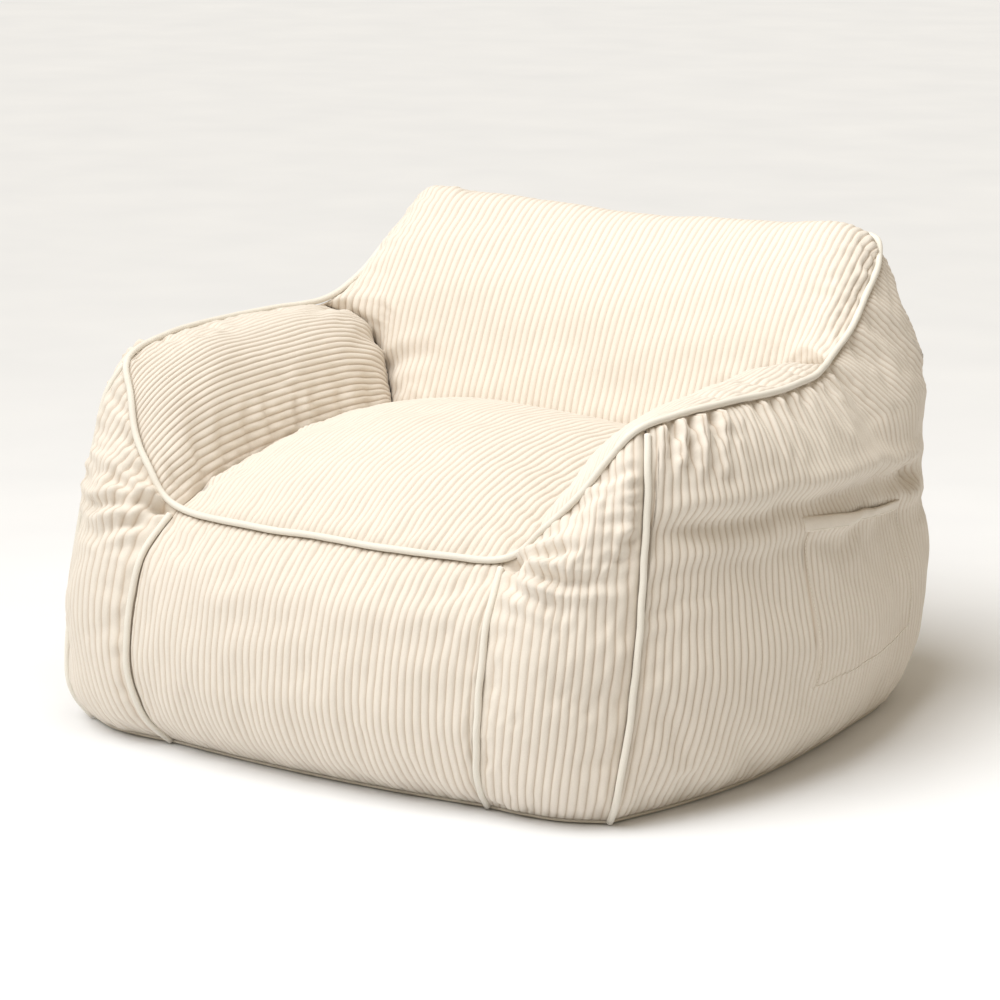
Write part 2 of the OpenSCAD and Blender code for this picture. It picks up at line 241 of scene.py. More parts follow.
def out_of_wall(p: Array) -> Array:
    """The way out of a seam that runs up or along the outer wall."""
    return unit(np.stack([p[..., 0] / 2.3, p[..., 1] / 1.94, 0 * p[..., 2]], -1))


def into_seam(kind: Seam, p: Array) -> Array:
    """The way a seam pulls the cloth in.

    Args:
        kind: the kind of seam.
        p: points on the seam, in metres.

    Returns:
        A unit vector for each point.
    """
    if kind is Seam.RIM:
        return -out_of_rim(p)
    if kind is Seam.CREASE:
        return unit(np.stack([0.55 * np.tanh(p[..., 0] / 0.15), 0.5 * smooth((p[..., 1] - 0.08) / 0.08),
                              -0.8 + 0 * p[..., 2]], -1))
    if kind is Seam.FLOOR:
        return unit(-out_of_wall(p) + np.array([0, 0, -0.42]))
    return -out_of_wall(p)


@dataclass
class Wobble:
    """A smooth, repeatable unevenness over a surface.

    Attributes:
        seed: picks the pattern.
        wave: typical length of one wave, in metres.
    """

    seed: int
    wave: float

    def at(self, a: Array, b: Array) -> Array:
        """Values between about -1 and 1 at the surface positions a, b in metres."""
        rng = np.random.default_rng(self.seed)
        out = np.zeros_like(np.asarray(a, float))
        for _ in range(7):
            turn = rng.uniform(0, math.tau)
            k = math.tau / (self.wave * rng.uniform(0.6, 1.7))
            out += np.sin(k * (a * math.cos(turn) + b * math.sin(turn)) + rng.uniform(0, math.tau))
        return out / 3.2


# ------------------------------------------------------------------- panels


@dataclass
class Fold:
    """A crease in the cloth, or with a negative depth a ridge, along a line on the surface.

    Attributes:
        path: points in millimetres on the right half.
        depth: depth in millimetres.
        width: half width in millimetres.
        lip: how far the cloth rises beside the crease, as a share of its depth.
    """

    path: tuple
    depth: float
    width: float
    lip: float = 0.35

    def height(self, p: Array, ground: Array) -> Array:
        """The rise or fall of the cloth at each point.

        Args:
            p: the points.
            ground: points spread over the whole piece, which the fold is laid onto.

        Returns:
            Heights in metres.
        """
        q = np.array(self.path, float) * MM
        t = np.linspace(0, len(q) - 1, 6 * (len(q) - 1) + 1)
        i = np.minimum(t.astype(int), len(q) - 2)
        q = q[i] + (t - i)[:, None] * (q[i + 1] - q[i])
        q = ground[np.linalg.norm(q[:, None] - ground[None], axis=-1).argmin(1)]
        reach = 5 * self.width * MM
        hit = ((p > q.min(0) - reach) & (p < q.max(0) + reach)).all(-1)
        out = np.zeros(p.shape[:-1])
        if hit.any():
            out[hit] = self.across(p[hit], q)
        return out

    def across(self, p: Array, q: Array) -> Array:
        """The rise or fall at points near the fold, whose path q is in metres."""
        best = np.full(p.shape[:-1], 1e9)
        end = np.zeros(p.shape[:-1])
        n = len(q) - 1
        for i in range(n):
            a, ab = q[i], q[i + 1] - q[i]
            t = np.clip(((p - a) @ ab) / max(ab @ ab, 1e-12), 0, 1)
            d = np.linalg.norm(p - a - t[..., None] * ab, axis=-1)
            s = (i + t) / n
            near = d < best
            best = np.where(near, d, best)
            end = np.where(near, s, end)
        w = self.width * MM
        fade = np.clip(1 - end, 0, 1) ** 0.6 * (0.4 + 0.6 * smooth(end / 0.12))
        d = best / w
        return self.depth * MM * fade * (-np.exp(-d * d) + self.lip * np.exp(-((d - 2.0) ** 2)))


@dataclass
class Patch:
    """One cut piece of corduroy, stretched between four seam lines and pushed out by the filling.

    Attributes:
        name: the frame's node, without its side.
        low, high: the edges at v = 0 and v = 1, each for u from 0 to 1.
        first, last: the edges at u = 0 and u = 1, each for v from 0 to 1.
        swell: how far the filling pushes the cloth, in metres.
        seams: the seam kind at low, high, first and last, or two kinds and the share of the edge
            where they meet.
        across: position across the wales in metres, or None where the wales follow the edges.
        rows: points along a wale.
        cells: cells of the grid that the filling is settled on.
        wales: how many wales cross the piece, or 0 to count them from its width.
        slack: how much of the settled filling's unevenness shows, from 0 to 1.
        stretch: how far the cloth is stretched, or when below 1 eased, across its wales.
        folds: creases in the cloth.
    """

    name: str
    low: EdgeFn
    high: EdgeFn
    first: EdgeFn
    last: EdgeFn
    swell: Callable[[Array, Array], Array]
    seams: tuple
    across: Optional[Callable[[Array], Array]] = None
    rows: int = 48
    cells: tuple = (24, 24)
    wales: int = 0
    stretch: float = 1.0
    slack: float = 0.5
    folds: dict = field(default_factory=dict)
    relief: dict = field(default_factory=dict)

    def at(self, u: Array, v: Array) -> Array:
        """Points of the stuffed surface, in metres."""
        u, v = np.broadcast_arrays(np.asarray(u, float), np.asarray(v, float))
        a, b = u[..., None], v[..., None]
        zero, one = np.zeros(1), np.ones(1)
        return ((1 - b) * self.low(u) + b * self.high(u) + (1 - a) * self.first(v) + a * self.last(v)
                - (1 - a) * (1 - b) * self.low(zero)[0] - a * (1 - b) * self.low(one)[0]
                - (1 - a) * b * self.high(zero)[0] - a * b * self.high(one)[0] + self.swell(u, v))

    def normal(self, u: Array, v: Array) -> Array:
        """The outward direction at each point."""
        h = 0.012
        a, b = np.clip(u - h, 0, 1), np.clip(u + h, 0, 1)
        c, d = np.clip(v - h, 0, 1), np.clip(v + h, 0, 1)
        return unit(np.cross(self.at(b, v) - self.at(a, v), self.at(u, d) - self.at(u, c)))

    def settled(self, u: Array, v: Array, side: Side) -> Array:
        """How far the settled filling moves each point, in metres.

        Args:
            u, v: positions on the panel.
            side: which half the panel is on.

        Returns:
            One vector for each point, zero where nothing was settled.
        """
        grid = self.relief.get(side)
        if grid is None:
            return np.zeros(np.shape(u) + (3,))
        n, m = grid.shape[0] - 1, grid.shape[1] - 1
        x, y = np.clip(u, 0, 1) * n, np.clip(v, 0, 1) * m
        i, j = np.minimum(x.astype(int), n - 1), np.minimum(y.astype(int), m - 1)
        out = np.zeros(np.shape(u) + (3,))
        for k in range(-1, 3):
            wa = self.weight(x - i - k)
            for l in range(-1, 3):
                wb = self.weight(y - j - l)
                out += (wa * wb)[..., None] * grid[np.clip(i + k, 0, n), np.clip(j + l, 0, m)]
        return out

    @staticmethod
    def weight(d: Array) -> Array:
        """Share of a grid point at a distance of d cells."""
        d = np.abs(d)
        return np.where(d < 1, 1 - 2.5 * d**2 + 1.5 * d**3,
                        np.where(d < 2, 2 - 4 * d + 2.5 * d**2 - 0.5 * d**3, 0))

    def grid(self, n: int, m: int) -> tuple:
        """An even grid of u and v with n by m cells."""
        return np.meshgrid(np.linspace(0, 1, n + 1), np.linspace(0, 1, m + 1), indexing="ij")


@dataclass
class PocketPatch(Patch):
    """A pocket sewn onto a wall along its sides and bottom.

    Attributes:
        wall: the panel that it is sewn onto.
        start, stop: its sides, as positions along the wall.
        bottom: its lower edge, as a position up the wall.
        gape: how far the mouth stands open, in metres.
    """

    wall: Optional[Patch] = None
    start: float = 0.372
    stop: float = 0.758
    bottom: float = 0.262
    gape: float = 0.0065

    def on_wall(self, u: Array, v: Array) -> tuple:
        """The wall's position under the pocket's own position; the mouth droops towards the rear."""
        across = self.start + np.asarray(u, float) * (self.stop - self.start)
        return across, self.bottom + np.asarray(v, float) * (0.388 - 0.55 * (across - self.start) ** 2)

    def at(self, u: Array, v: Array) -> Array:
        """Points of the wall under the pocket."""
        return self.wall.at(*self.on_wall(*np.broadcast_arrays(np.asarray(u, float), np.asarray(v, float))))

    def stand(self, u: Array, v: Array, near: Array) -> Array:
        """How far the pocket's cloth stands off the wall, in metres."""
        return (0.0036 - 0.0018 * np.exp(-np.minimum(near, np.minimum(u, 1 - u) * 0.29) / 0.004) + self.gape
                * hump(u, 3) * np.clip(v, 0, 1) ** 1.5)


def vec(x: Array, y: Array, z: Array) -> Array:
    """Three coordinates as one array of vectors."""
    return np.stack(np.broadcast_arrays(x, y, z), -1)


class Cover:
    """The cutting plan of the cover: the patches of the right half and of the middle."""

    arm_then_rim: tuple = (Seam.CREASE, Seam.RIM, NET.arm_share)

    def __init__(self) -> None:
        """Lays out every patch."""
        n = NET
        rim = n.rim
        part: Callable[[int, int], EdgeFn] = lambda a, b: (lambda t: rim(a + np.asarray(t) * (b - a)))
        front_top: EdgeFn = lambda t: rim(n.to_front * (2 * np.asarray(t) - 1))
        rear_part: EdgeFn = lambda t: n.rear_seam.knot(1 + 5 * np.asarray(t))
        rear_low: EdgeFn = lambda t: n.rear_seam.knot(np.asarray(t))
        side_top: EdgeFn = lambda t: rim(n.to_arm + (0.45 * t + 0.55 * np.asarray(t) ** 2.6)
                                         * (n.to_ear - n.to_arm))
        self.front = Patch("front_panel", n.floor_front.at, front_top, mirrored(n.front_seam.at),
                           n.front_seam.at,
                           lambda u, v: vec(0 * u, -9 * MM * hump(u, 2) * hump(v, 2), 0 * u),
                           (Seam.FLOOR, Seam.RIM, Seam.PIPED, Seam.PIPED), lambda p: p[..., 0], 46, (32, 20))
        self.corner = Patch("front_corner_panel", n.floor_corner.at, part(n.to_front, n.to_arm),
                            n.front_seam.at, n.corner_seam.at,
                            lambda u, v: vec(9 * MM * hump(u, 2) * hump(v, 2),
                                             -14 * MM * hump(u, 2) * hump(v, 2), 0 * u),
                            (Seam.FLOOR, Seam.RIM, Seam.PIPED, Seam.PIPED), None, 110, (12, 28), 16)
        self.side = Patch("side_panel", n.floor_side.at, side_top, n.corner_seam.at, n.rear_seam.at,
                          lambda u, v: vec(level((0, 0, 0, 0, -2, -9, -10, 8, 14, 9, 0), v) * hump(u, 4)
                                           + level((0, 12, 20, 25, 27, 22, 15, 10, 6, 3, 0), v)
                                           * np.sin(math.pi * u**0.6), 0 * u, 0 * u),
                          (Seam.FLOOR, Seam.RIM, Seam.PIPED, Seam.PLAIN), None, 84, (44, 32))
        self.side.across = self.run_along(self.side)
        self.side.stretch = 1.13
        self.upper = Patch("back_panel_upper", n.zip_edge(1), n.rear_rim, rear_part, mirrored(rear_part),
                           lambda u, v: vec(0 * u, level((0, 4, 5, 3, 0, 5, 0), v) * hump(u, 4), 0 * u),
                           (Seam.PLAIN, Seam.RIM, Seam.PLAIN, Seam.PLAIN), lambda p: -p[..., 0], 56, (48, 28))
        self.lower = Patch("back_panel_lower", n.floor_back.at, n.zip_edge(-1), rear_low, mirrored(rear_low),
                           lambda u, v: vec(0 * u, 2 * MM * hump(u, 4) * hump(v, 2), 0 * u),
                           (Seam.FLOOR, Seam.PLAIN, Seam.PLAIN, Seam.PLAIN), lambda p: -p[..., 0], 12,
                           (48, 6))
        self.seat = Patch("seat_panel", front_top, n.seat_back.at, mirrored(n.seat_side.at), n.seat_side.at,
                          lambda u, v: vec(0 * u, 0 * u, 62 * MM * hump(u, 2.4) * hump(v, 2.2)),
                          (Seam.RIM, Seam.CREASE, Seam.CREASE, Seam.CREASE), self.from_middle, 72, (32, 32))
        self.back = Patch("backrest_panel", n.seat_back.at, lambda t: n.rear_rim(1 - np.asarray(t)),
                          mirrored(n.back_side), n.back_side,
                          self.lean, (Seam.CREASE, Seam.RIM, self.arm_then_rim, self.arm_then_rim),
                          self.from_middle, 72, (44, 30))
        self.arm = Patch("arm_panel", part(n.to_front, n.to_arm),
                         lambda t: n.back_side(n.arm_share * np.asarray(t)), n.seat_side.at,
                         part(n.to_arm, n.to_back),
                         lambda u, v: vec(-30 * MM * np.sin(math.pi * u) * hump(v, 4), 0 * u,
                                          50 * MM * np.sin(math.pi * u) * hump(v, 4)),
                         (Seam.RIM, Seam.CREASE, Seam.CREASE, Seam.RIM), None, 70, (18, 28))

    def ease(self) -> None:
        """Eases the seat's and the arms' cloth a little, and sets how tight each piece is."""
        self.seat.stretch = self.arm.stretch = 0.9
        tight = {0.3: (self.front, self.lower), 0.4: (self.seat, self.back, self.upper), 0.5: (self.side,),
                 0.25: (self.arm,), 0.75: (self.corner,)}
        for slack, patches in tight.items():
            for patch in patches:
                patch.slack = slack

    def crease(self) -> None:
        """Lays the folds and gathers into the patches, the two sides each with their own."""
        for side in Side:
            other = side is Side.LEFT
            rng = np.random.default_rng(41 if other else 17)
            shift = 8 if other else 0
            self.crease_side(side, rng, shift)
            self.crease_corner(side, rng, shift)
            self.crease_arm(side, rng)
        self.crease_backrest()
        middle = np.random.default_rng(23)
        self.crease_seat(middle)
        self.crease_front(middle)
        self.crease_rear()

    def crease_side(self, side: Side, rng: np.random.Generator, shift: float) -> None:
        """Folds the side wall: the long waist fold, the pulls below the rim, and the gathers.

        Args:
            side: the half to crease.
            rng: the draws shared by this half's pieces.
            shift: how far this half's folds stand off the other's, in millimetres.
        """
        self.side.folds[side] = [
            Fold(((414, -300, 340 - shift), (458, -190, 344), (484, -90, 342), (490, 20, 338 + shift),
                  (484, 90, 332), (468, 190, 322)), 13, 15, 0.6),
            Fold(((436, 318, 309), (442, 286, 312 + shift), (470, 180, 326), (486, 60, 337),
                  (480, -60, 341)), 13, 13, 0.8),
            Fold(((442, 300, 311), (428, 345, 308), (412, 392, 304)), 6, 12, 0.6),
            Fold(((399, -222, 462), (414, -240, 438), (427, -264, 412)), 8, 6.5, 0.9),
            Fold(((406, -194, 465), (424, -214, 438), (438, -244, 404)), 8, 7, 0.9),
            Fold(((413, -160, 466), (432, -180, 436), (450, -208, 398)), 7, 7.5, 0.9),
            Fold(((418, -318, 250), (440, -270, 262 + shift), (462, -200, 268)), 3.5, 9, 0.6),
            Fold(((392, 150, 465), (420, 190, 430), (436, 215, 392)), 7, 12, 0.6),
            Fold(((388, 232, 492), (412, 262, 452), (424, 282, 405)), 8, 13, 0.6),
            Fold(((386, 282, 520), (402, 322, 476), (408, 352, 428)), 7, 12, 0.6),
            Fold(((408, 380, 424), (412, 350, 432), (414, 300, 446)), 4, 12, 0.5),
            Fold(((412, 390, 252), (424, 362, 256), (436, 320, 250)), 3, 10, 0.5),
            Fold(((460, 120, 320), (470, 60, 290), (476, 10, 262)), 4, 14, 0.5)]
        for k in range(11):
            y = -232 + 36 * k + rng.uniform(-9, 9)
            drop = rng.uniform(42, 88)
            top = 466 if y < 150 else 475
            self.side.folds[side].append(Fold(((404 + 20 * math.sin((y + 250) / 150), y, top),
                                               (430, y + rng.uniform(-8, 10), top - drop * 0.5),
                                               (440, y + rng.uniform(-14, 16), top - drop)),
                                               rng.uniform(3.5, 6.5), rng.uniform(7, 10), 0.8))

    def crease_corner(self, side: Side, rng: np.random.Generator, shift: float) -> None:
        """Folds the front corner, from where its seam meets the rim.

        Args:
            side: the half to crease.
            rng: the draws shared by this half's pieces.
            shift: how far this half's folds stand off the other's, in millimetres.
        """
        start = (252, -345, 298)
        self.corner.folds[side] = [
            Fold((start, (300, -372, 296 + shift), (352, -372, 293), (408, -318, 292)), 11, 7.5, 0.8),
            Fold((start, (290, -362, 312), (335, -358, 322 + shift), (372, -335, 330)), 9, 6.5, 0.8),
            Fold((start, (290, -376, 280), (330, -382, 266 - shift), (366, -370, 258)), 7.5, 8, 0.7),
            Fold(((262, -400, 262), (296, -396, 256), (336, -384, 240)), 3, 8, 0.6),
            Fold(((286, -345, 330), (318, -345, 348), (350, -328, 362)), 4.5, 7, 0.7),
            Fold(((318, -326, 362), (344, -322, 376), (372, -306, 388)), 4, 7, 0.7),
            Fold(((345, -306, 400), (366, -300, 405), (388, -284, 412)), 3, 6, 0.7)]
        for k in range(6):
            z = 318 + 22 * k + rng.uniform(-5, 5)
            self.corner.folds[side].append(Fold(((408, -296, z), (385, -318, z - 3),
                                                 (350, -338, z - 10 + rng.uniform(-4, 4))),
                                                 rng.uniform(2.0, 3.4), rng.uniform(5, 7), 0.7))

    def crease_arm(self, side: Side, rng: np.random.Generator) -> None:
        """Gathers the arm along the seat and along the rim.

        Args:
            side: the half to crease.
            rng: the draws shared by this half's pieces.
        """
        self.arm.folds[side] = []
        for k in range(9):
            y = -300 + 50 * k + rng.uniform(-12, 12)
            run = rng.uniform(35, 80)
            low = 312 + 36 * smooth(np.array((y + 330) / 300))
            self.arm.folds[side].append(Fold(((258, y, low),
                                              (276, y + rng.uniform(-10, 14), low + run * 0.6),
                                              (300, y + rng.uniform(-16, 22), low + run)),
                                             rng.uniform(3.5, 6), rng.uniform(7, 11), 0.7))
        for k in range(6):
            y = -250 + 62 * k + rng.uniform(-15, 15)
            self.arm.folds[side].append(Fold(((412, y, 470), (392, y + rng.uniform(-8, 8), 482),
                                              (366, y + rng.uniform(-12, 12), 484)),
                                              rng.uniform(2.0, 3.6), rng.uniform(7, 10), 0.7))
        self.arm.folds[side] += [Fold(((384, 176, 470), (366, 130, 480), (350, 80, 478)), 6, 12, 0.6),
                                 Fold(((330, 205, 418), (318, 150, 432), (306, 95, 424)), 5, 12, 0.6)]

    def crease_backrest(self) -> None:
        """Gathers the backrest along the rim of both ears."""
        ears = []
        for turn, seed in ((1, 5), (-1, 9)):
            rng = np.random.default_rng(seed)
            for k in range(9):
                t = k / 8
                y, z = 215 + 150 * t, 490 + 96 * t
                reach = rng.uniform(38, 82)
                ears.append(Fold(((turn * (388 - 26 * t * t), y, z),
                                  (turn * (362 - 26 * t * t), y + rng.uniform(-10, 4),
                                   z + 8 + rng.uniform(-6, 6)),
                                  (turn * (388 - reach - 26 * t * t), y - 8 + rng.uniform(-14, 4), z + 14)),
                                  rng.uniform(3, 5.5) * (0.35 + 0.65 * t), rng.uniform(6.5, 9), 0.8))
            ears += [Fold(((turn * 352, 390, 600), (turn * 318, 372, 606), (turn * 262, 352, 602)), 6, 10,
                          0.6),
                     Fold(((turn * 300, 190, 384), (turn * 262, 196, 404), (turn * 205, 204, 414)), 5, 12,
                          0.6)]
        self.back.folds[Side.RIGHT] = ears

    def crease_seat(self, rng: np.random.Generator) -> None:
        """Gathers the seat along the arms and along the front.

        Args:
            rng: the draws that the seat and the front share.
        """
        seat = []
        for turn in (1, -1):
            for k in range(7):
                y = -300 + 62 * k + rng.uniform(-14, 14)
                seat.append(Fold(((turn * 260, y, 330), (turn * 236, y + rng.uniform(-8, 8), 350),
                                  (turn * (208 - 20 * rng.uniform(0, 1)), y + rng.uniform(-14, 14), 366)),
                                 rng.uniform(2.4, 4.2), rng.uniform(8, 12), 0.7))
        for k in range(9):
            x = -210 + 52 * k + rng.uniform(-12, 12)
            seat.append(Fold(((x, -362, 302), (x + rng.uniform(-8, 8), -340, 318),
                              (x + rng.uniform(-12, 12), -312, 336)), rng.uniform(1.2, 2.4),
                              rng.uniform(8, 12), 0.7))
        self.seat.folds[Side.RIGHT] = seat

    def crease_front(self, rng: np.random.Generator) -> None:
        """Gathers the front below the rim, and pulls it from both upper corners.

        Args:
            rng: the draws that the seat and the front share.
        """
        front = []
        for k in range(12):
            x = -222 + 40 * k + rng.uniform(-10, 10)
            front.append(Fold(((x, -372, 294), (x + rng.uniform(-5, 5), -392, 268),
                               (x + rng.uniform(-9, 9), -408, 236)), rng.uniform(1.2, 2.4),
                               rng.uniform(7, 10), 0.7))
        for turn in (1, -1):
            front += [Fold(((turn * 246, -348, 292), (turn * 216, -385, 272), (turn * 165, -410, 254)), 3.4,
                           8, 0.7),
                      Fold(((turn * 248, -352, 288), (turn * 232, -392, 250), (turn * 205, -420, 205)), 3.0,
                           9, 0.7)]
        self.front.folds[Side.RIGHT] = front

    def crease_rear(self) -> None:
        """Gathers the outer back along both rear seams and below the rim."""
        rng = np.random.default_rng(len(self.upper.name))
        self.upper.folds[Side.RIGHT] = []
        for turn in (1, -1):
            for k in range(8):
                z = 150 + 52 * k + rng.uniform(-12, 12)
                self.upper.folds[Side.RIGHT].append(Fold(((turn * 404, 418, z),
                                                     (turn * 370, 428, z + rng.uniform(-8, 8)),
                                                     (turn * (345 - 40 * rng.uniform(0, 1)), 432,
                                                      z + rng.uniform(-14, 14))),
                                                    rng.uniform(2, 4), rng.uniform(8, 12), 0.7))
        for k in range(14):
            x = -330 + 51 * k + rng.uniform(-14, 14)
            self.upper.folds[Side.RIGHT].append(Fold(((x, 428, 578), (x + rng.uniform(-6, 6), 434, 548),
                                                 (x + rng.uniform(-9, 9), 436, 512)),
                                                 rng.uniform(1.5, 3), rng.uniform(8, 12), 0.7))

    @staticmethod
    def lean(u: Array, v: Array) -> Array:
        """The backrest's swell: it carries the middle onto its own smooth line, clear of the arms' seams."""
        edge = NET.back_side(v)
        middle = NET.back_middle.at(v)
        flat = (1 - v)[..., None] * (NET.back_middle.at(np.zeros(1))[0] - NET.back_side(np.zeros(1))[0])
        flat = flat + v[..., None] * (NET.back_middle.at(np.ones(1))[0] - NET.back_side(np.ones(1))[0])
        return (middle - edge - flat) * np.array([0.0, 1, 1]) * hump(u, 6)[..., None]

    @staticmethod
    def run_along(patch: Patch) -> Callable[[Array], Array]:
        """Measures along a wall, so that the wales keep their pitch where it turns."""
        line = patch.at(np.linspace(0, 1, 120), np.full(120, 0.33))
        run = np.concatenate([[0], np.cumsum(np.hypot(np.diff(line[:, 0]), np.diff(line[:, 1])))])
        y = np.concatenate([[line[0, 1] - 0.2], line[:, 1], [line[-1, 1] + 0.1]])
        run = np.concatenate([[-0.28], run, [run[-1] + 0.14]])

        seam = NET.corner_seam.at(np.linspace(0, 1, 60))
        rear = NET.rear_seam.at(np.linspace(0, 1, 60))

        def across(p: Array) -> Array:
            """The distance along the wall, in line with the seams at both ends, leaning back at the top."""
            lean = np.interp(p[..., 2], seam[:, 2], seam[:, 1]) + 0.332
            lean = lean * np.where(p[..., 2] > 0.2, 1.2, 1.0) * (1 - smooth((p[..., 1] + 0.30) / 0.44))
            behind = (np.interp(p[..., 2], rear[:, 2], rear[:, 1]) - 0.416) * smooth((p[..., 1] - 0.25)
                                                                                     / 0.13)
            place = (np.interp(p[..., 1] - lean - behind, y, run) + 0.9 * np.clip(p[..., 2] - 0.40, 0, 1)
                     * smooth((p[..., 1] - 0.02) / 0.2))
            if p.ndim == 3:
                # Along a row of a grid the measure never stands still, so that no wale doubles back.
                least = 0.4 * np.linalg.norm(np.diff(p, axis=0), axis=-1)
                onward = np.cumsum(np.maximum(np.diff(place, axis=0), least), axis=0)
                place = np.concatenate([place[:1], place[:1] + onward])
                height = p[-1, :, 2]
                if p[-1, :, 1].min() > 0.36:
                    # The grid ends at the rear seam: below the ear the wales run out little by little.
                    goal = np.median(place[-1][height < 0.36]) + 0.04 * (height - 0.18)
                    drift = (place[-1] - goal) * (1 - smooth((height - 0.36) / 0.06))
                    place = place - drift * smooth((np.linspace(0, 1, len(place))[:, None] - 0.7) / 0.3)
            return place
        return across

    @staticmethod
    def from_middle(p: Array) -> Array:
        """The distance from the middle along each row, so that wales keep their pitch on steep sides."""
        run = np.cumsum(np.linalg.norm(np.diff(p, axis=0), axis=-1), axis=0)
        run = np.concatenate([np.zeros((1, p.shape[1])), run])
        half = p.shape[0] // 2
        return run - (run[half - 1] + run[p.shape[0] - half]) / 2

    def pocket(self) -> PocketPatch:
        """The pocket on the side wall."""
        none: EdgeFn = lambda t: np.zeros(np.shape(t) + (3,))
        return PocketPatch("pocket", none, none, none, none, lambda u, v: vec(0 * u, 0 * u, 0 * u),
                           (Seam.PATCHED, Seam.OPEN, Seam.PATCHED, Seam.PATCHED), self.side.across, 60,
                           stretch=self.side.stretch, wall=self.side)

    def pieces(self) -> list:
        """Every patch with its side; a middle patch counts as right."""
        both = [(p, s) for p in (self.corner, self.side, self.arm) for s in Side]
        return both + [(p, Side.RIGHT) for p in (self.front, self.seat, self.back, self.upper, self.lower)]


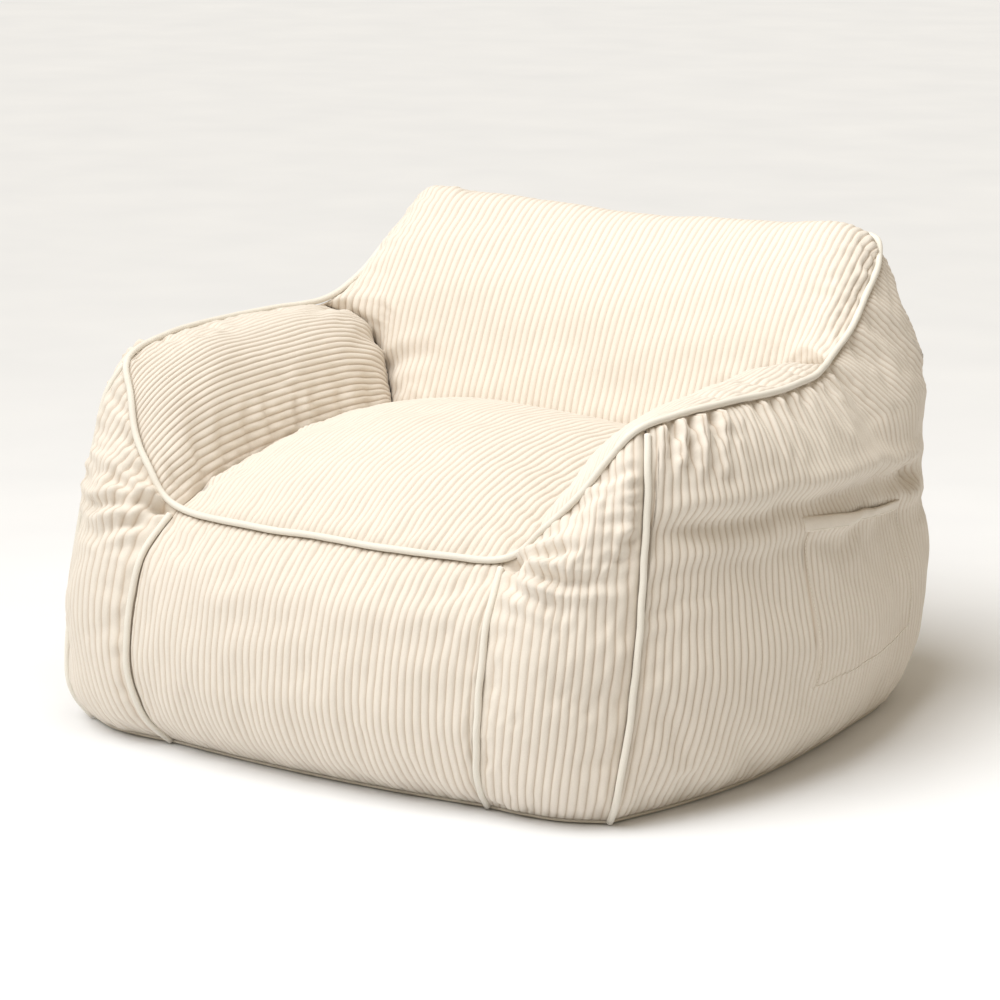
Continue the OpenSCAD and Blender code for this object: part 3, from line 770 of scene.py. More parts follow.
@dataclass
class Corduroy:
    """Wide-wale corduroy cut and sewn into the panels of the cover.

    Attributes:
        pitch: distance from wale to wale in metres.
        height: height of a wale.
        backing: thickness of the cloth under the wales.
        steps: where the points across one wale lie, as shares of the pitch.
    """

    pitch: float = 0.0101
    height: float = 0.0021
    backing: float = 0.0022
    steps: tuple = (0.0, 0.13, 0.32, 0.5, 0.68, 0.87)

    def profile(self, f: Array) -> Array:
        """Height of a wale, from 0 in the groove to 1 on its crown, at the share f of the pitch."""
        return (1 - np.abs(2 * f - 1) ** 2.6) ** 0.75

    def columns(self, patch: Patch) -> tuple:
        """Where each line of points runs over a panel.

        Args:
            patch: the panel.

        Returns:
            u, v and the position across the wales, each as (columns, rows).
        """
        m = patch.rows
        if patch.across is None:
            length = float(np.linalg.norm(np.diff(patch.at(np.linspace(0, 1, 60), np.full(60, 0.5)), axis=0),
                                          axis=-1).sum())
            count = patch.wales or int(length / self.pitch / patch.stretch)
            pos = np.array([k + f for k in range(count) for f in self.steps] + [count]) / count
            u, v = np.meshgrid(pos, np.linspace(0, 1, m), indexing="ij")
            return u, v, u * count * self.pitch
        dense = 420
        vs = np.linspace(0, 1, dense)
        us = np.linspace(0, 1, 180)
        gu, gv = np.meshgrid(us, vs, indexing="ij")
        pos = patch.across(patch.at(gu, gv)) / patch.stretch
        pos = np.maximum.accumulate(pos, axis=0)
        lo, hi = pos.min(), pos.max()
        k0, k1 = math.floor(lo / self.pitch), math.ceil(hi / self.pitch)
        lines = np.array([(k + f) * self.pitch for k in range(k0, k1 + 1) for f in self.steps])
        lines = lines[(lines > lo + 2e-4) & (lines < hi - 2e-4)]
        out_u, out_v = [], []
        keep = []
        for c in lines:
            inside = (pos[0] <= c) & (c <= pos[-1])
            hit = np.flatnonzero(inside)
            if len(hit) < 3:
                continue
            a, b = hit[0], hit[-1]
            v0, v1 = vs[a], vs[b]
            uc = np.array([np.interp(c, pos[:, j], us) for j in range(a, b + 1)])
            v = np.linspace(v0, v1, m)
            out_v.append(v)
            out_u.append(np.interp(v, vs[a:b + 1], uc))
            keep.append(c)
        u, v = np.array(out_u), np.array(out_v)
        return u, v, np.repeat(np.array(keep)[:, None], m, axis=1)

    def edges(self, patch: Patch, u: Array, v: Array, p: Array) -> tuple:
        """Distances to the four seams and how far they pull the cloth in.

        Args:
            patch: the panel.
            u, v: positions on it.
            p: the points there.

        Returns:
            The pull as vectors, and the distance to the nearest seam in metres.
        """
        t = np.linspace(0, 1, 24)
        gu, gv = np.meshgrid(t, t, indexing="ij")
        g = patch.at(gu, gv)
        wide = np.linalg.norm(np.diff(g, axis=0), axis=-1).sum(0)
        tall = np.linalg.norm(np.diff(g, axis=1), axis=-1).sum(1)
        lu, lv = np.interp(v, t, wide), np.interp(u, t, tall)
        dist = (v * lv, (1 - v) * lv, u * lu, (1 - u) * lu)
        pull = np.zeros_like(p)
        total = np.full(u.shape, 1e-9)
        size = np.zeros(u.shape)
        near = np.full(u.shape, 1.0)
        for kind, d, t, run in zip(patch.seams, dist, (u, u, v, v), (lu, lu, lv, lv)):
            near = np.minimum(near, d)
            parts = ((kind, d),)
            if isinstance(kind, tuple):
                start, end, share = kind
                parts = ((start, np.hypot(d, np.maximum(t - share, 0) * run)),
                         (end, np.hypot(d, np.maximum(share - t, 0) * run)))
            for seam, far in parts:
                w = seam.depth * np.exp(-far / seam.reach)
                pull += into_seam(seam, p) * w[..., None] ** 2
                total += w**2
                size = np.maximum(size, w)
        return pull / total[..., None] * size[..., None], near

    def puckers(self, patch: Patch, u: Array, v: Array, near: Array, p: Array, seed: int) -> Array:
        """Small gathers that the stitching draws in beside every seam, as a height in metres."""
        s = Wobble(seed, 0.021).at(p[..., 0] + p[..., 1], p[..., 2] - p[..., 1] * 0.6)
        broad = Wobble(seed + 1, 0.11).at(p[..., 0] - p[..., 1], p[..., 2] + p[..., 1])
        return 1.15 * MM * s * np.exp(-((near - 0.008) / 0.013) ** 2) + 1.6 * MM * broad * smooth(near / 0.03)

    def ground(self, patch: Patch, u: Array, v: Array, side: Side) -> tuple:
        """The cloth under the wales, with its seams drawn in and its folds laid.

        Args:
            patch: the panel.
            u, v: positions on it.
            side: which half it is on.

        Returns:
            The points, the outward direction there, and the distance to the nearest seam in metres.
        """
        p = patch.at(u, v)
        pull, near = self.edges(patch, u, v, p)
        if isinstance(patch, PocketPatch):
            base, normal, _ = self.ground(patch.wall, *patch.on_wall(u, v), side)
            return base + pull + normal * patch.stand(u, v, near)[..., None], normal, near
        normal = patch.normal(u, v)
        seed = 11 * len(patch.name) + (0 if side is Side.RIGHT else 57)
        inner = smooth(near / 0.012)
        lift = self.puckers(patch, u, v, near, p, seed) * inner
        spread = patch.at(*patch.grid(70, 70)).reshape(-1, 3)
        for fold in patch.folds.get(side, ()):
            lift = lift + fold.height(p, spread) * inner
        return p + patch.settled(u, v, side) + pull + normal * lift[..., None], normal, near

    def build(self, patch: Patch, side: Side, middle: bool) -> bpy.types.Object:
        """Makes one panel as a closed sheet with its wales standing out of it.

        Args:
            patch: the panel.
            side: which half it is on.
            middle: whether it crosses the middle, and so has no side in its name.

        Returns:
            The finished mesh object.
        """
        u, v, c = self.columns(patch)
        seed = 11 * len(patch.name) + (0 if side is Side.RIGHT else 57)
        base, normal, near = self.ground(patch, u, v, side)
        step = np.mod(c / self.pitch, 1.0)
        rib = self.profile(step)
        rib = np.where((step < 1e-6) | (step > 1 - 1e-6), 0, rib)
        tall = (self.height * (0.25 + 0.75 * smooth(near / 0.007))
                * (1 + 0.10 * Wobble(seed + 2, 0.05).at(c * 3, v * 0.6)))
        outer = base + normal * (rib * tall - 0.3 * self.height)[..., None]
        inside = base - normal * self.backing
        along = np.concatenate([np.zeros((u.shape[0], 1)),
                                np.cumsum(np.linalg.norm(np.diff(base, axis=1), axis=-1), axis=1)], 1)
        name = patch.name if middle else f"{patch.name}_{side.word}"
        # The last argument paints shade beside the seams, fading over about 9 mm.
        obj = self.sheet("cord_" + name, outer, inside, side is Side.LEFT,
                         np.stack([c, along], -1), rib, np.exp(-near / 0.009))
        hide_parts(name)
        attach(obj, "chair")
        return obj

    @staticmethod
    def sheet(name: str, outer: Array, inside: Array, flip: bool, uv: Array, rib: Array,
              tuck: Array) -> bpy.types.Object:
        """Joins an outer and an inner grid of points into one closed mesh.

        Args:
            name: the object's name.
            outer, inside: grids of points, (n, m, 3).
            flip: mirror the piece to the left half.
            uv: position across and along the wales, in metres.
            rib: 0 in a groove, 1 on a crown.
            tuck: painted shade beside the seams, 1 on a seam, fading to 0.

        Returns:
            The mesh object.
        """
        n, m = outer.shape[:2]
        pts = np.concatenate([outer.reshape(-1, 3), inside.reshape(-1, 3)])
        if flip:
            pts = pts * np.array([-1.0, 1.0, 1.0])
        i = np.arange(n * m).reshape(n, m)
        o = n * m
        a, b, c, d = i[:-1, :-1].ravel(), i[1:, :-1].ravel(), i[1:, 1:].ravel(), i[:-1, 1:].ravel()
        quads = [np.stack([a, b, c, d], 1), np.stack([a, d, c, b], 1) + o]
        for line, turn in ((i[:, 0], False), (i[:, -1], True), (i[0, :], True), (i[-1, :], False)):
            x, y = line[:-1], line[1:]
            q = np.stack([x, x + o, y + o, y], 1)
            quads.append(q[:, ::-1] if turn else q)
        faces = np.concatenate(quads)
        if flip:
            faces = faces[:, ::-1]
        mesh = bpy.data.meshes.new(name)
        mesh.from_pydata(pts.tolist(), [], faces.tolist())
        layer = mesh.uv_layers.new(name="cloth")
        loops = np.zeros(len(mesh.loops), dtype=np.int64)
        mesh.loops.foreach_get("vertex_index", loops)
        flat = np.concatenate([uv.reshape(-1, 2)] * 2)
        layer.data.foreach_set("uv", flat[loops].astype(np.float32).ravel())
        # The inside faces get a mid wale and the full painted seam shade.
        for label, values, back in (("rib", rib, 0.5), ("tuck", tuck, 1.0)):
            att = mesh.attributes.new(label, "FLOAT", "POINT")
            full = np.concatenate([values.ravel(), np.full(o, back)])
            att.data.foreach_set("value", full.astype(np.float32))
        mesh.validate()
        mesh.update()
        obj = bpy.data.objects.new(name, mesh)
        bpy.context.collection.objects.link(obj)
        mesh.shade_smooth()
        return obj


# -------------------------------------------------------------- the filling


@dataclass
class Filling:
    """The loose filling, settled by a cloth simulation that presses it out against the sewn cover.

    Attributes:
        frames: how many steps the cloth takes.
        pressure: how hard the filling presses.
        ease: how much larger the cloth is cut than the space it covers.
        cap: the furthest a point may move, in metres.
    """

    frames: int = 16
    pressure: float = 2.2
    ease: float = 0.035
    cap: float = 0.009

    def settle(self, cover: Cover) -> None:
        """Simulates all the panels at once, their seams held, and stores how each one moved."""
        pts, faces, pinned, spans = [], [], [], []
        for patch, side in cover.pieces():
            n, m = patch.cells
            u, v = patch.grid(n, m)
            p = patch.at(u, v)
            rough = Wobble(7 + 13 * len(patch.name) + (0 if side is Side.RIGHT else 31), 0.07).at(u * 0.6,
                                                                                                  v * 0.5)
            p = p + patch.normal(u, v) * (0.0016 * rough * hump(u, 6) * hump(v, 6))[..., None]
            i = np.arange((n + 1) * (m + 1)).reshape(n + 1, m + 1) + len(pts)
            faces += np.stack([i[:-1, :-1], i[1:, :-1], i[1:, 1:], i[:-1, 1:]], -1).reshape(-1, 4).tolist()
            pinned += np.unique(np.concatenate([i[0], i[-1], i[:, 0], i[:, -1]])).tolist()
            spans.append((patch, side, len(pts), p))
            pts += p.reshape(-1, 3).tolist()
        mesh = bpy.data.meshes.new("settling")
        mesh.from_pydata(pts, [], faces)
        obj = bpy.data.objects.new("settling", mesh)
        bpy.context.collection.objects.link(obj)
        group = obj.vertex_groups.new(name="seams")
        group.add(pinned, 1.0, "REPLACE")
        cloth = obj.modifiers.new("cloth", "CLOTH")
        s = cloth.settings
        s.quality = 6
        s.mass = 0.25
        s.tension_stiffness = s.compression_stiffness = 14
        s.shear_stiffness = 6
        s.bending_stiffness = 0.35
        s.use_pressure = True
        s.uniform_pressure_force = self.pressure
        s.shrink_min = -self.ease
        s.vertex_group_mass = "seams"
        s.pin_stiffness = 4
        s.effector_weights.gravity = 0
        cloth.collision_settings.use_collision = False
        cloth.point_cache.frame_start, cloth.point_cache.frame_end = 1, self.frames
        scene = bpy.context.scene
        for f in range(1, self.frames + 1):
            scene.frame_set(f)
        done = obj.evaluated_get(bpy.context.evaluated_depsgraph_get()).to_mesh()
        out = np.zeros(len(done.vertices) * 3)
        done.vertices.foreach_get("co", out)
        out = out.reshape(-1, 3)
        for patch, side, start, p in spans:
            moved = out[start:start + p.shape[0] * p.shape[1]].reshape(p.shape) - p
            size = np.linalg.norm(moved, axis=-1, keepdims=True)
            moved = moved * np.minimum(1, self.cap * np.tanh(size / self.cap) / np.maximum(size, 1e-9))
            patch.relief[side] = moved * patch.slack
        LOG.info("filling settled, furthest point %.1f mm",
                 1000 * max(np.abs(p.relief[s]).max() for p, s, _, _ in spans))
        bpy.data.objects.remove(obj, do_unlink=True)
        scene.frame_set(1)


# -------------------------------------------------------------------- tubes


def tube(name: str, path: Array, away: Array, radius: Array, looped: bool,
         sides: int = 14) -> bpy.types.Object:
    """A round piece along a path, as one closed mesh.

    Args:
        name: the object's name.
        path: points along the middle.
        away: a direction at each point that the section starts from.
        radius: the radius at each point.
        looped: whether the ends join.
        sides: points round the section.

    Returns:
        The mesh object, with its UV in metres round and along.
    """
    n = len(path)
    ahead = np.roll(path, -1, 0) - np.roll(path, 1, 0)
    if not looped:
        ahead[0], ahead[-1] = path[1] - path[0], path[-1] - path[-2]
    t = unit(ahead)
    x = unit(away - (away * t).sum(-1, keepdims=True) * t)
    y = np.cross(t, x)
    turn = np.arange(sides) / sides * math.tau
    ring = (path[:, None] + radius[:, None, None]
            * (x[:, None] * np.cos(turn)[None, :, None] + y[:, None] * np.sin(turn)[None, :, None]))
    pts = ring.reshape(-1, 3).tolist()
    faces, uvs = [], []
    run = np.concatenate([[0], np.cumsum(np.linalg.norm(np.diff(path, axis=0), axis=-1))])
    for i in range(n if looped else n - 1):
        j = (i + 1) % n
        ends = (run[i], run[i] + np.linalg.norm(path[j] - path[i]))
        for k in range(sides):
            l = (k + 1) % sides
            faces.append((i * sides + k, i * sides + l, j * sides + l, j * sides + k))
            uvs += [(k * 0.002, ends[0]), ((k + 1) * 0.002, ends[0]), ((k + 1) * 0.002, ends[1]),
                    (k * 0.002, ends[1])]
    if not looped:
        for end, push in ((0, -1), (n - 1, 1)):
            tip = len(pts)
            pts.append((path[end] + t[end] * push * radius[end] * 0.5).tolist())
            for k in range(sides):
                l = (k + 1) % sides
                a, b = end * sides + k, end * sides + l
                faces.append((b, a, tip) if push < 0 else (a, b, tip))
                uvs += [(0, run[end])] * 3
    mesh = bpy.data.meshes.new(name)
    mesh.from_pydata(pts, [], faces)
    mesh.uv_layers.new(name="cloth").data.foreach_set("uv", np.array(uvs, np.float32).ravel())
    mesh.update()
    mesh.shade_smooth()
    obj = bpy.data.objects.new(name, mesh)
    bpy.context.collection.objects.link(obj)
    return obj


@dataclass
class Piping:
    """Corded piping sewn into the main seams.

    Attributes:
        radius: radius of the covered cord.
        proud: how far its middle stands out of the seam line.
        pace: distance between points along it; not used.
    """

    radius: float = 0.0043
    proud: float = 0.0034
    pace: float = 0.005

    def run(self, name: str, node: str, line: Array, away: Array, looped: bool,
            seed: int) -> bpy.types.Object:
        """Makes one length of piping.

        Args:
            name: the object's name.
            node: the frame's node that it stands for.
            line: points along the seam.
            away: the way out of the seam at each point.
            looped: whether the ends join.
            seed: picks its unevenness.

        Returns:
            The mesh object.
        """
        run = np.concatenate([[0], np.cumsum(np.linalg.norm(np.diff(line, axis=0), axis=-1))])
        uneven = Wobble(seed, 0.03).at(run, 0 * run)
        radius = self.radius * (1 + 0.025 * uneven)
        side = unit(np.cross(away, np.gradient(line, axis=0)))
        path = line + away * self.proud + side * (0.0006 * Wobble(seed + 1, 0.06).at(run, 0 * run))[:, None]
        obj = tube(name, path, away, radius, looped)
        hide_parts(node)
        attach(obj, "chair")
        return obj

    def build(self) -> list:
        """Makes the rim and the four upright runs."""
        made = []
        k = np.linspace(-NET.to_end, NET.to_end, 561)[:-1]
        rim = NET.rim(k)
        made.append(self.run("piping_rim", "rim_piping", rim, out_of_rim(rim), True, 3))
        for word, seam in (("front", NET.front_seam), ("corner", NET.corner_seam)):
            for side in Side:
                t = np.linspace(0.0, 0.975, 76)
                p = seam.at(t)
                run = np.concatenate([[0], np.cumsum(np.linalg.norm(np.diff(p, axis=0), axis=-1))])
                p = p + into_seam(Seam.FLOOR, p) * (Seam.FLOOR.depth * np.exp(-run / Seam.FLOOR.reach))[:,
                                                                                                        None]
                p = p * np.array([float(side.value), 1, 1])
                made.append(self.run(f"piping_{word}_{side.word}", f"{word}_piping_{side.word}", p,
                                     out_of_wall(p), False,
                                     5 + 2 * side.value + len(word)))
        return made


@dataclass
class Base:
    """The flat panel that the chair stands on.

    Attributes:
        thick: thickness of the cloth.
        height: height of the panel's upper face at its edge; not used.
    """

    thick: float = 0.003
    height: float = 0.006

    def build(self) -> bpy.types.Object:
        """Makes the base as a closed sheet that meets the walls at the floor seam."""
        t = np.linspace(0, 1, 60)[:-1]
        half = np.concatenate([NET.floor_front.at(0.5 + t / 2), NET.floor_corner.at(t), NET.floor_side.at(t),
                               NET.floor_back.at(t / 2)])
        left = half[::-1] * np.array([-1.0, 1, 1])
        edge = np.concatenate([half, left[1:]])
        edge = edge + into_seam(Seam.FLOOR, edge) * (Seam.FLOOR.depth - 0.001)
        rings = 14
        share = 1 - (np.arange(rings + 1) / rings) ** 1.3
        top = []
        for s in share:
            ring = edge * np.array([s, s, 1.0])
            ring[:, 2] = 0.0034 + (edge[:, 2] - 0.0034) * max(0.0, (s - 0.93) / 0.07)
            top.append(ring)
        pts = np.array(top)
        under = pts - np.array([0, 0, self.thick])
        n = len(edge)
        under[..., 2] = np.maximum(under[..., 2], 0.0003)
        verts = np.concatenate([pts.reshape(-1, 3), under.reshape(-1, 3)])
        faces = []
        o = (rings + 1) * n
        for r in range(rings):
            for k in range(n):
                l = (k + 1) % n
                a, b, c, d = r * n + k, r * n + l, (r + 1) * n + l, (r + 1) * n + k
                if r == rings - 1:
                    continue
                faces.append((a, b, c, d))
                faces.append((a + o, d + o, c + o, b + o))
        last = (rings - 1) * n
        faces.append(tuple(last + k for k in range(n)))
        faces.append(tuple(last + o + k for k in reversed(range(n))))
        for k in range(n):
            l = (k + 1) % n
            faces.append((k, k + o, l + o, l))
        mesh = bpy.data.meshes.new("base_cloth")
        mesh.from_pydata(verts.tolist(), [], faces)
        mesh.validate()
        obj = bpy.data.objects.new("base_cloth", mesh)
        bpy.context.collection.objects.link(obj)
        loose = [v for v in mesh.vertices]
        used = set(i for f in mesh.polygons for i in f.vertices)
        if len(used) != len(loose):
            import bmesh
            bm = bmesh.new()
            bm.from_mesh(mesh)
            bmesh.ops.delete(bm, geom=[v for v in bm.verts if not v.link_faces], context="VERTS")
            bm.to_mesh(mesh)
            bm.free()
        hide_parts("base_panel")
        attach(obj, "chair")
        return obj


@dataclass
class PocketTrim:
    """The folded hem along a pocket's mouth and the stitches that hold the pocket on.

    Attributes:
        hem_start: where the hem begins, as a share of the pocket's height.
        thread: radius of the sewing thread.
        stitch: length of one stitch.
        pace: distance from stitch to stitch.
    """

    hem_start: float = 0.935
    thread: float = 0.00042
    stitch: float = 0.0033
    pace: float = 0.0047

    def hem(self, cloth: Corduroy, pocket: PocketPatch, side: Side) -> bpy.types.Object:
        """Makes the hem as a smooth band folded over the mouth's edge."""
        n, m = 110, 10
        u, f = np.meshgrid(np.linspace(0.004, 0.996, n + 1), np.linspace(0, 1, m + 1), indexing="ij")
        v = self.hem_start + f * (1.012 - self.hem_start)
        base, normal, _ = cloth.ground(pocket, u, v, side)
        swell = 0.0009 * hump(f, 4) + 0.0003 * Wobble(5, 0.03).at(u * 0.29, f * 0.01)
        outer = base + normal * (0.0016 + swell)[..., None]
        inside = base - normal * (0.0030 + 0 * swell)[..., None]
        name = f"pocket_hem_{side.word}"
        # Painted shade along both long edges of the hem, as at a seam.
        obj = cloth.sheet("cord_" + name, outer, inside, side is Side.LEFT,
                          np.stack([u * 0.29, f * 0.016], -1), 0.93 + 0 * u, 0.5 * (1 - hump(f, 6)))
        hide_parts(name)
        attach(obj, "chair")
        return obj

    def stitches(self, cloth: Corduroy, pocket: PocketPatch, side: Side) -> bpy.types.Object:
        """Makes every stitch round one pocket as a single object."""
        t = np.linspace(0, 1, 400)
        rows = ((0.016 + 0 * t, 0.01 + 0.93 * t), (0.984 + 0 * t, 0.01 + 0.93 * t),
                (0.016 + 0.968 * t, 0.02 + 0 * t), (0.01 + 0.98 * t, self.hem_start + 0.010 + 0 * t))
        pts, faces = [], []
        for row, (u, v) in enumerate(rows):
            base, normal, _ = cloth.ground(pocket, u[:, None], v[:, None], side)
            rise = 0.0026 if row == 3 else 0.0016
            line, normal = (base + normal * rise)[:, 0], normal[:, 0]
            run = np.concatenate([[0], np.cumsum(np.linalg.norm(np.diff(line, axis=0), axis=-1))])
            for k in range(int(run[-1] / self.pace)):
                at = np.array([k * self.pace, k * self.pace + self.stitch / 2, k * self.pace + self.stitch])
                mid = np.stack([np.interp(at, run, line[:, i]) for i in range(3)], -1)
                out = unit(np.stack([np.interp(at, run, normal[:, i]) for i in range(3)], -1))
                mid = mid + out * (self.thread * np.array([-1.1, 0.5, -1.1]))[:, None]
                ahead = unit(mid[2] - mid[0])
                x = unit(out - (out @ ahead)[:, None] * ahead)
                y = np.cross(ahead, x)
                first = len(pts)
                for j in range(3):
                    for q in range(6):
                        w = math.tau * q / 6
                        pts.append((mid[j] + self.thread
                                    * (x[j] * math.cos(w) + y[j] * math.sin(w))).tolist())
                for j in range(2):
                    for q in range(6):
                        r = (q + 1) % 6
                        faces.append((first + j * 6 + q, first + j * 6 + r, first + (j + 1) * 6 + r,
                                      first + (j + 1) * 6 + q))
                faces.append(tuple(first + q for q in reversed(range(6))))
                faces.append(tuple(first + 12 + q for q in range(6)))
        if side is Side.LEFT:
            pts = [(-x, y, z) for x, y, z in pts]
            faces = [f[::-1] for f in faces]
        mesh = bpy.data.meshes.new("stitches")
        mesh.from_pydata(pts, [], faces)
        mesh.shade_smooth()
        obj = bpy.data.objects.new(f"pocket_stitches_{side.word}", mesh)
        bpy.context.collection.objects.link(obj)
        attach(obj, "chair")
        return obj


@dataclass
class Zip:
    """The slider and its pull, at the closed end of the zip.

    Attributes:
        place: middle of the slider on the teeth's line, in metres.
    """

    place: tuple = (0.266, 0.4265, 0.092)

    def block(self, name: str, x: tuple, y: tuple, z: tuple, soften: float) -> bpy.types.Object:
        """A block with softened edges.

        Args:
            name: its name.
            x, y: its extent in millimetres, y from the row's origin and x from the slider's middle.
            z: its extent from the teeth's line, in millimetres.
            soften: the width of its softened edges, in millimetres.

        Returns:
            The object.
        """
        bpy.ops.object.select_all(action="DESELECT")
        middle = (self.place[0] + sum(x) / 2 * MM, sum(y) / 2 * MM, self.place[2] + sum(z) / 2 * MM)
        bpy.ops.mesh.primitive_cube_add(size=1, location=middle,
                                        scale=((x[1] - x[0]) * MM, (y[1] - y[0]) * MM, (z[1] - z[0]) * MM))
        obj = bpy.context.object
        obj.name = name
        bpy.ops.object.transform_apply(location=True, rotation=True, scale=True)
        edge = obj.modifiers.new("edges", "BEVEL")
        edge.width, edge.segments = soften * MM, 3
        bpy.ops.object.modifier_apply(modifier="edges")
        return obj

    def rod(self, name: str, x: float, y: float, z: tuple, radius: float) -> bpy.types.Object:
        """A round bar along z, with the same units as block."""
        bpy.ops.object.select_all(action="DESELECT")
        bpy.ops.mesh.primitive_cylinder_add(vertices=32, radius=radius * MM, depth=(z[1] - z[0]) * MM,
                                            location=(self.place[0] + x * MM, y * MM,
                                                      self.place[2] + sum(z) / 2 * MM))
        obj = bpy.context.object
        obj.name = name
        bpy.ops.object.transform_apply(location=True, rotation=True, scale=True)
        return obj

    @staticmethod
    def joined(parts: list, name: str) -> bpy.types.Object:
        """Joins parts into one object."""
        bpy.ops.object.select_all(action="DESELECT")
        for part in parts:
            part.select_set(True)
        bpy.context.view_layer.objects.active = parts[0]
        bpy.ops.object.join()
        obj = bpy.context.object
        obj.name = name
        bpy.ops.object.shade_smooth_by_angle(angle=math.radians(35))
        return obj

    def slider(self) -> bpy.types.Object:
        """Makes the slider: a face plate, two flanges round the teeth and a bridge for the pull."""
        obj = self.joined([
            self.block("plate", (-7, 7), (427.5, 428.6), (-5.4, 5.4), 0.35),
            self.block("flange_a", (-7, 7), (424.4, 428.2), (4.0, 5.4), 0.35),
            self.block("flange_b", (-7, 7), (424.4, 428.2), (-5.4, -4.0), 0.35),
            self.block("post_a", (-4, -2.7), (428.3, 432.4), (-1.1, 1.1), 0.3),
            self.block("post_b", (2.7, 4), (428.3, 432.4), (-1.1, 1.1), 0.3),
            self.block("bar", (-4, 4), (431.5, 432.6), (-1.1, 1.1), 0.35)], "slider_metal")
        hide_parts("zip_slider")
        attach(obj, "slider")
        return obj

    def pull(self) -> bpy.types.Object:
        """Makes the pull: a crossbar in the bridge, two arms and a plate with a hole."""
        plate = self.block("tab", (-30, -8), (429.25, 430.95), (-4, 4), 0.5)
        drill = self.rod("drill", -25, 430.1, (-3.0, 3.0), 2.2)
        drill.rotation_euler = (math.radians(90), 0, 0)
        drill.location = (self.place[0] - 25 * MM, 430.1 * MM, self.place[2])
        drill.data.transform(Matrix.Translation(-Vector((self.place[0] - 25 * MM, 430.1 * MM,
                                                         self.place[2]))))
        cut = plate.modifiers.new("hole", "BOOLEAN")
        cut.operation, cut.object = "DIFFERENCE", drill
        bpy.ops.object.select_all(action="DESELECT")
        bpy.context.view_layer.objects.active = plate
        plate.select_set(True)
        bpy.ops.object.modifier_apply(modifier="hole")
        bpy.data.objects.remove(drill, do_unlink=True)
        obj = self.joined([
            plate,
            self.block("arm_a", (-9, 0.5), (429.25, 430.95), (1.7, 3.3), 0.4),
            self.block("arm_b", (-9, 0.5), (429.25, 430.95), (-3.3, -1.7), 0.4),
            self.rod("crossbar", 0, 430.1, (-3.3, 3.3), 0.85)], "pull_metal")
        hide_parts("zip_pull")
        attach(obj, "pull")
        return obj


# ----------------------------------------------------------------- finishes


@dataclass
class Sock:
    """A shader output that can be used in sums and products."""

    graph: "Graph"
    out: object

    def math(self, kind: str, other: object) -> "Sock":
        """The result of a Math node on this value and another."""
        return self.graph.node("ShaderNodeMath", {"operation": kind}, {0: self, 1: other})

    def __add__(self, other: object) -> "Sock":
        """Sum."""
        return self.math("ADD", other)

    def __sub__(self, other: object) -> "Sock":
        """Difference."""
        return self.math("SUBTRACT", other)

    def __mul__(self, other: object) -> "Sock":
        """Product."""
        return self.math("MULTIPLY", other)

    def __pow__(self, other: object) -> "Sock":
        """Power."""
        return self.math("POWER", other)


class Graph:
    """A material's node tree, built one node at a time."""

    def __init__(self, name: str) -> None:
        """Starts an empty material.

        Args:
            name: the material's name.
        """
        self.material = bpy.data.materials.new(name)
        self.material.use_nodes = True
        self.tree = self.material.node_tree
        self.tree.nodes.clear()

    def node(self, kind: str, settings: dict, inputs: dict, output: object = 0) -> Sock:
        """Adds a node.

        Args:
            kind: the node's type.
            settings: its properties.
            inputs: values or Socks, by socket name or number.
            output: the socket to hand back, by name or number.

        Returns:
            The chosen output.
        """
        made = self.tree.nodes.new(kind)
        for key, value in settings.items():
            setattr(made, key, value)
        for key, value in inputs.items():
            if isinstance(value, Sock):
                self.tree.links.new(value.out, made.inputs[key])
            else:
                made.inputs[key].default_value = value
        return Sock(self, made.outputs[output])

    def noise(self, where: Sock, scale: float, detail: float = 3.0, rough: float = 0.5) -> Sock:
        """A noise texture's value."""
        return self.node("ShaderNodeTexNoise", {},
                         {"Vector": where, "Scale": scale, "Detail": detail, "Roughness": rough})

    def scaled(self, where: Sock, scale: tuple) -> Sock:
        """A position stretched along its axes."""
        return self.node("ShaderNodeMapping", {}, {"Vector": where, "Scale": scale})

    def blend(self, share: Sock, a: tuple, b: tuple) -> Sock:
        """A colour between a, at 0, and b, at 1."""
        made = self.tree.nodes.new("ShaderNodeMix")
        made.data_type = "RGBA"
        self.tree.links.new(share.out, made.inputs[0])
        for key, value in ((6, a), (7, b)):
            if isinstance(value, Sock):
                self.tree.links.new(value.out, made.inputs[key])
            else:
                made.inputs[key].default_value = (*value, 1)
        return Sock(self, made.outputs[2])

    def attribute(self, name: str) -> Sock:
        """A value stored on the mesh."""
        return self.node("ShaderNodeAttribute", {"attribute_name": name}, {}, "Fac")

    def bump(self, height: Sock, strength: float, distance: float, base: Optional[Sock] = None) -> Sock:
        """A bumped normal."""
        more = {} if base is None else {"Normal": base}
        return self.node("ShaderNodeBump", {},
                         {"Height": height, "Strength": strength, "Distance": distance, **more})

    def finish(self, colour: object, rough: object, normal: Optional[Sock],
               **fixed: object) -> bpy.types.Material:
        """Closes the tree with a Principled shader.

        Args:
            colour: base colour, fixed or a Sock.
            rough: roughness, fixed or a Sock.
            normal: the bumped normal, if any.
            **fixed: other sockets, with underscores for spaces.

        Returns:
            The material.
        """
        inputs = {"Base Color": colour if isinstance(colour, Sock) else (*colour, 1), "Roughness": rough}
        if normal is not None:
            inputs["Normal"] = normal
        inputs.update({k.replace("_", " "): v for k, v in fixed.items()})
        shader = self.node("ShaderNodeBsdfPrincipled", {}, inputs)
        self.node_out(shader)
        return self.material

    def node_out(self, shader: Sock) -> None:
        """Joins the shader to the material's output."""
        made = self.tree.nodes.new("ShaderNodeOutputMaterial")
        self.tree.links.new(shader.out, made.inputs["Surface"])


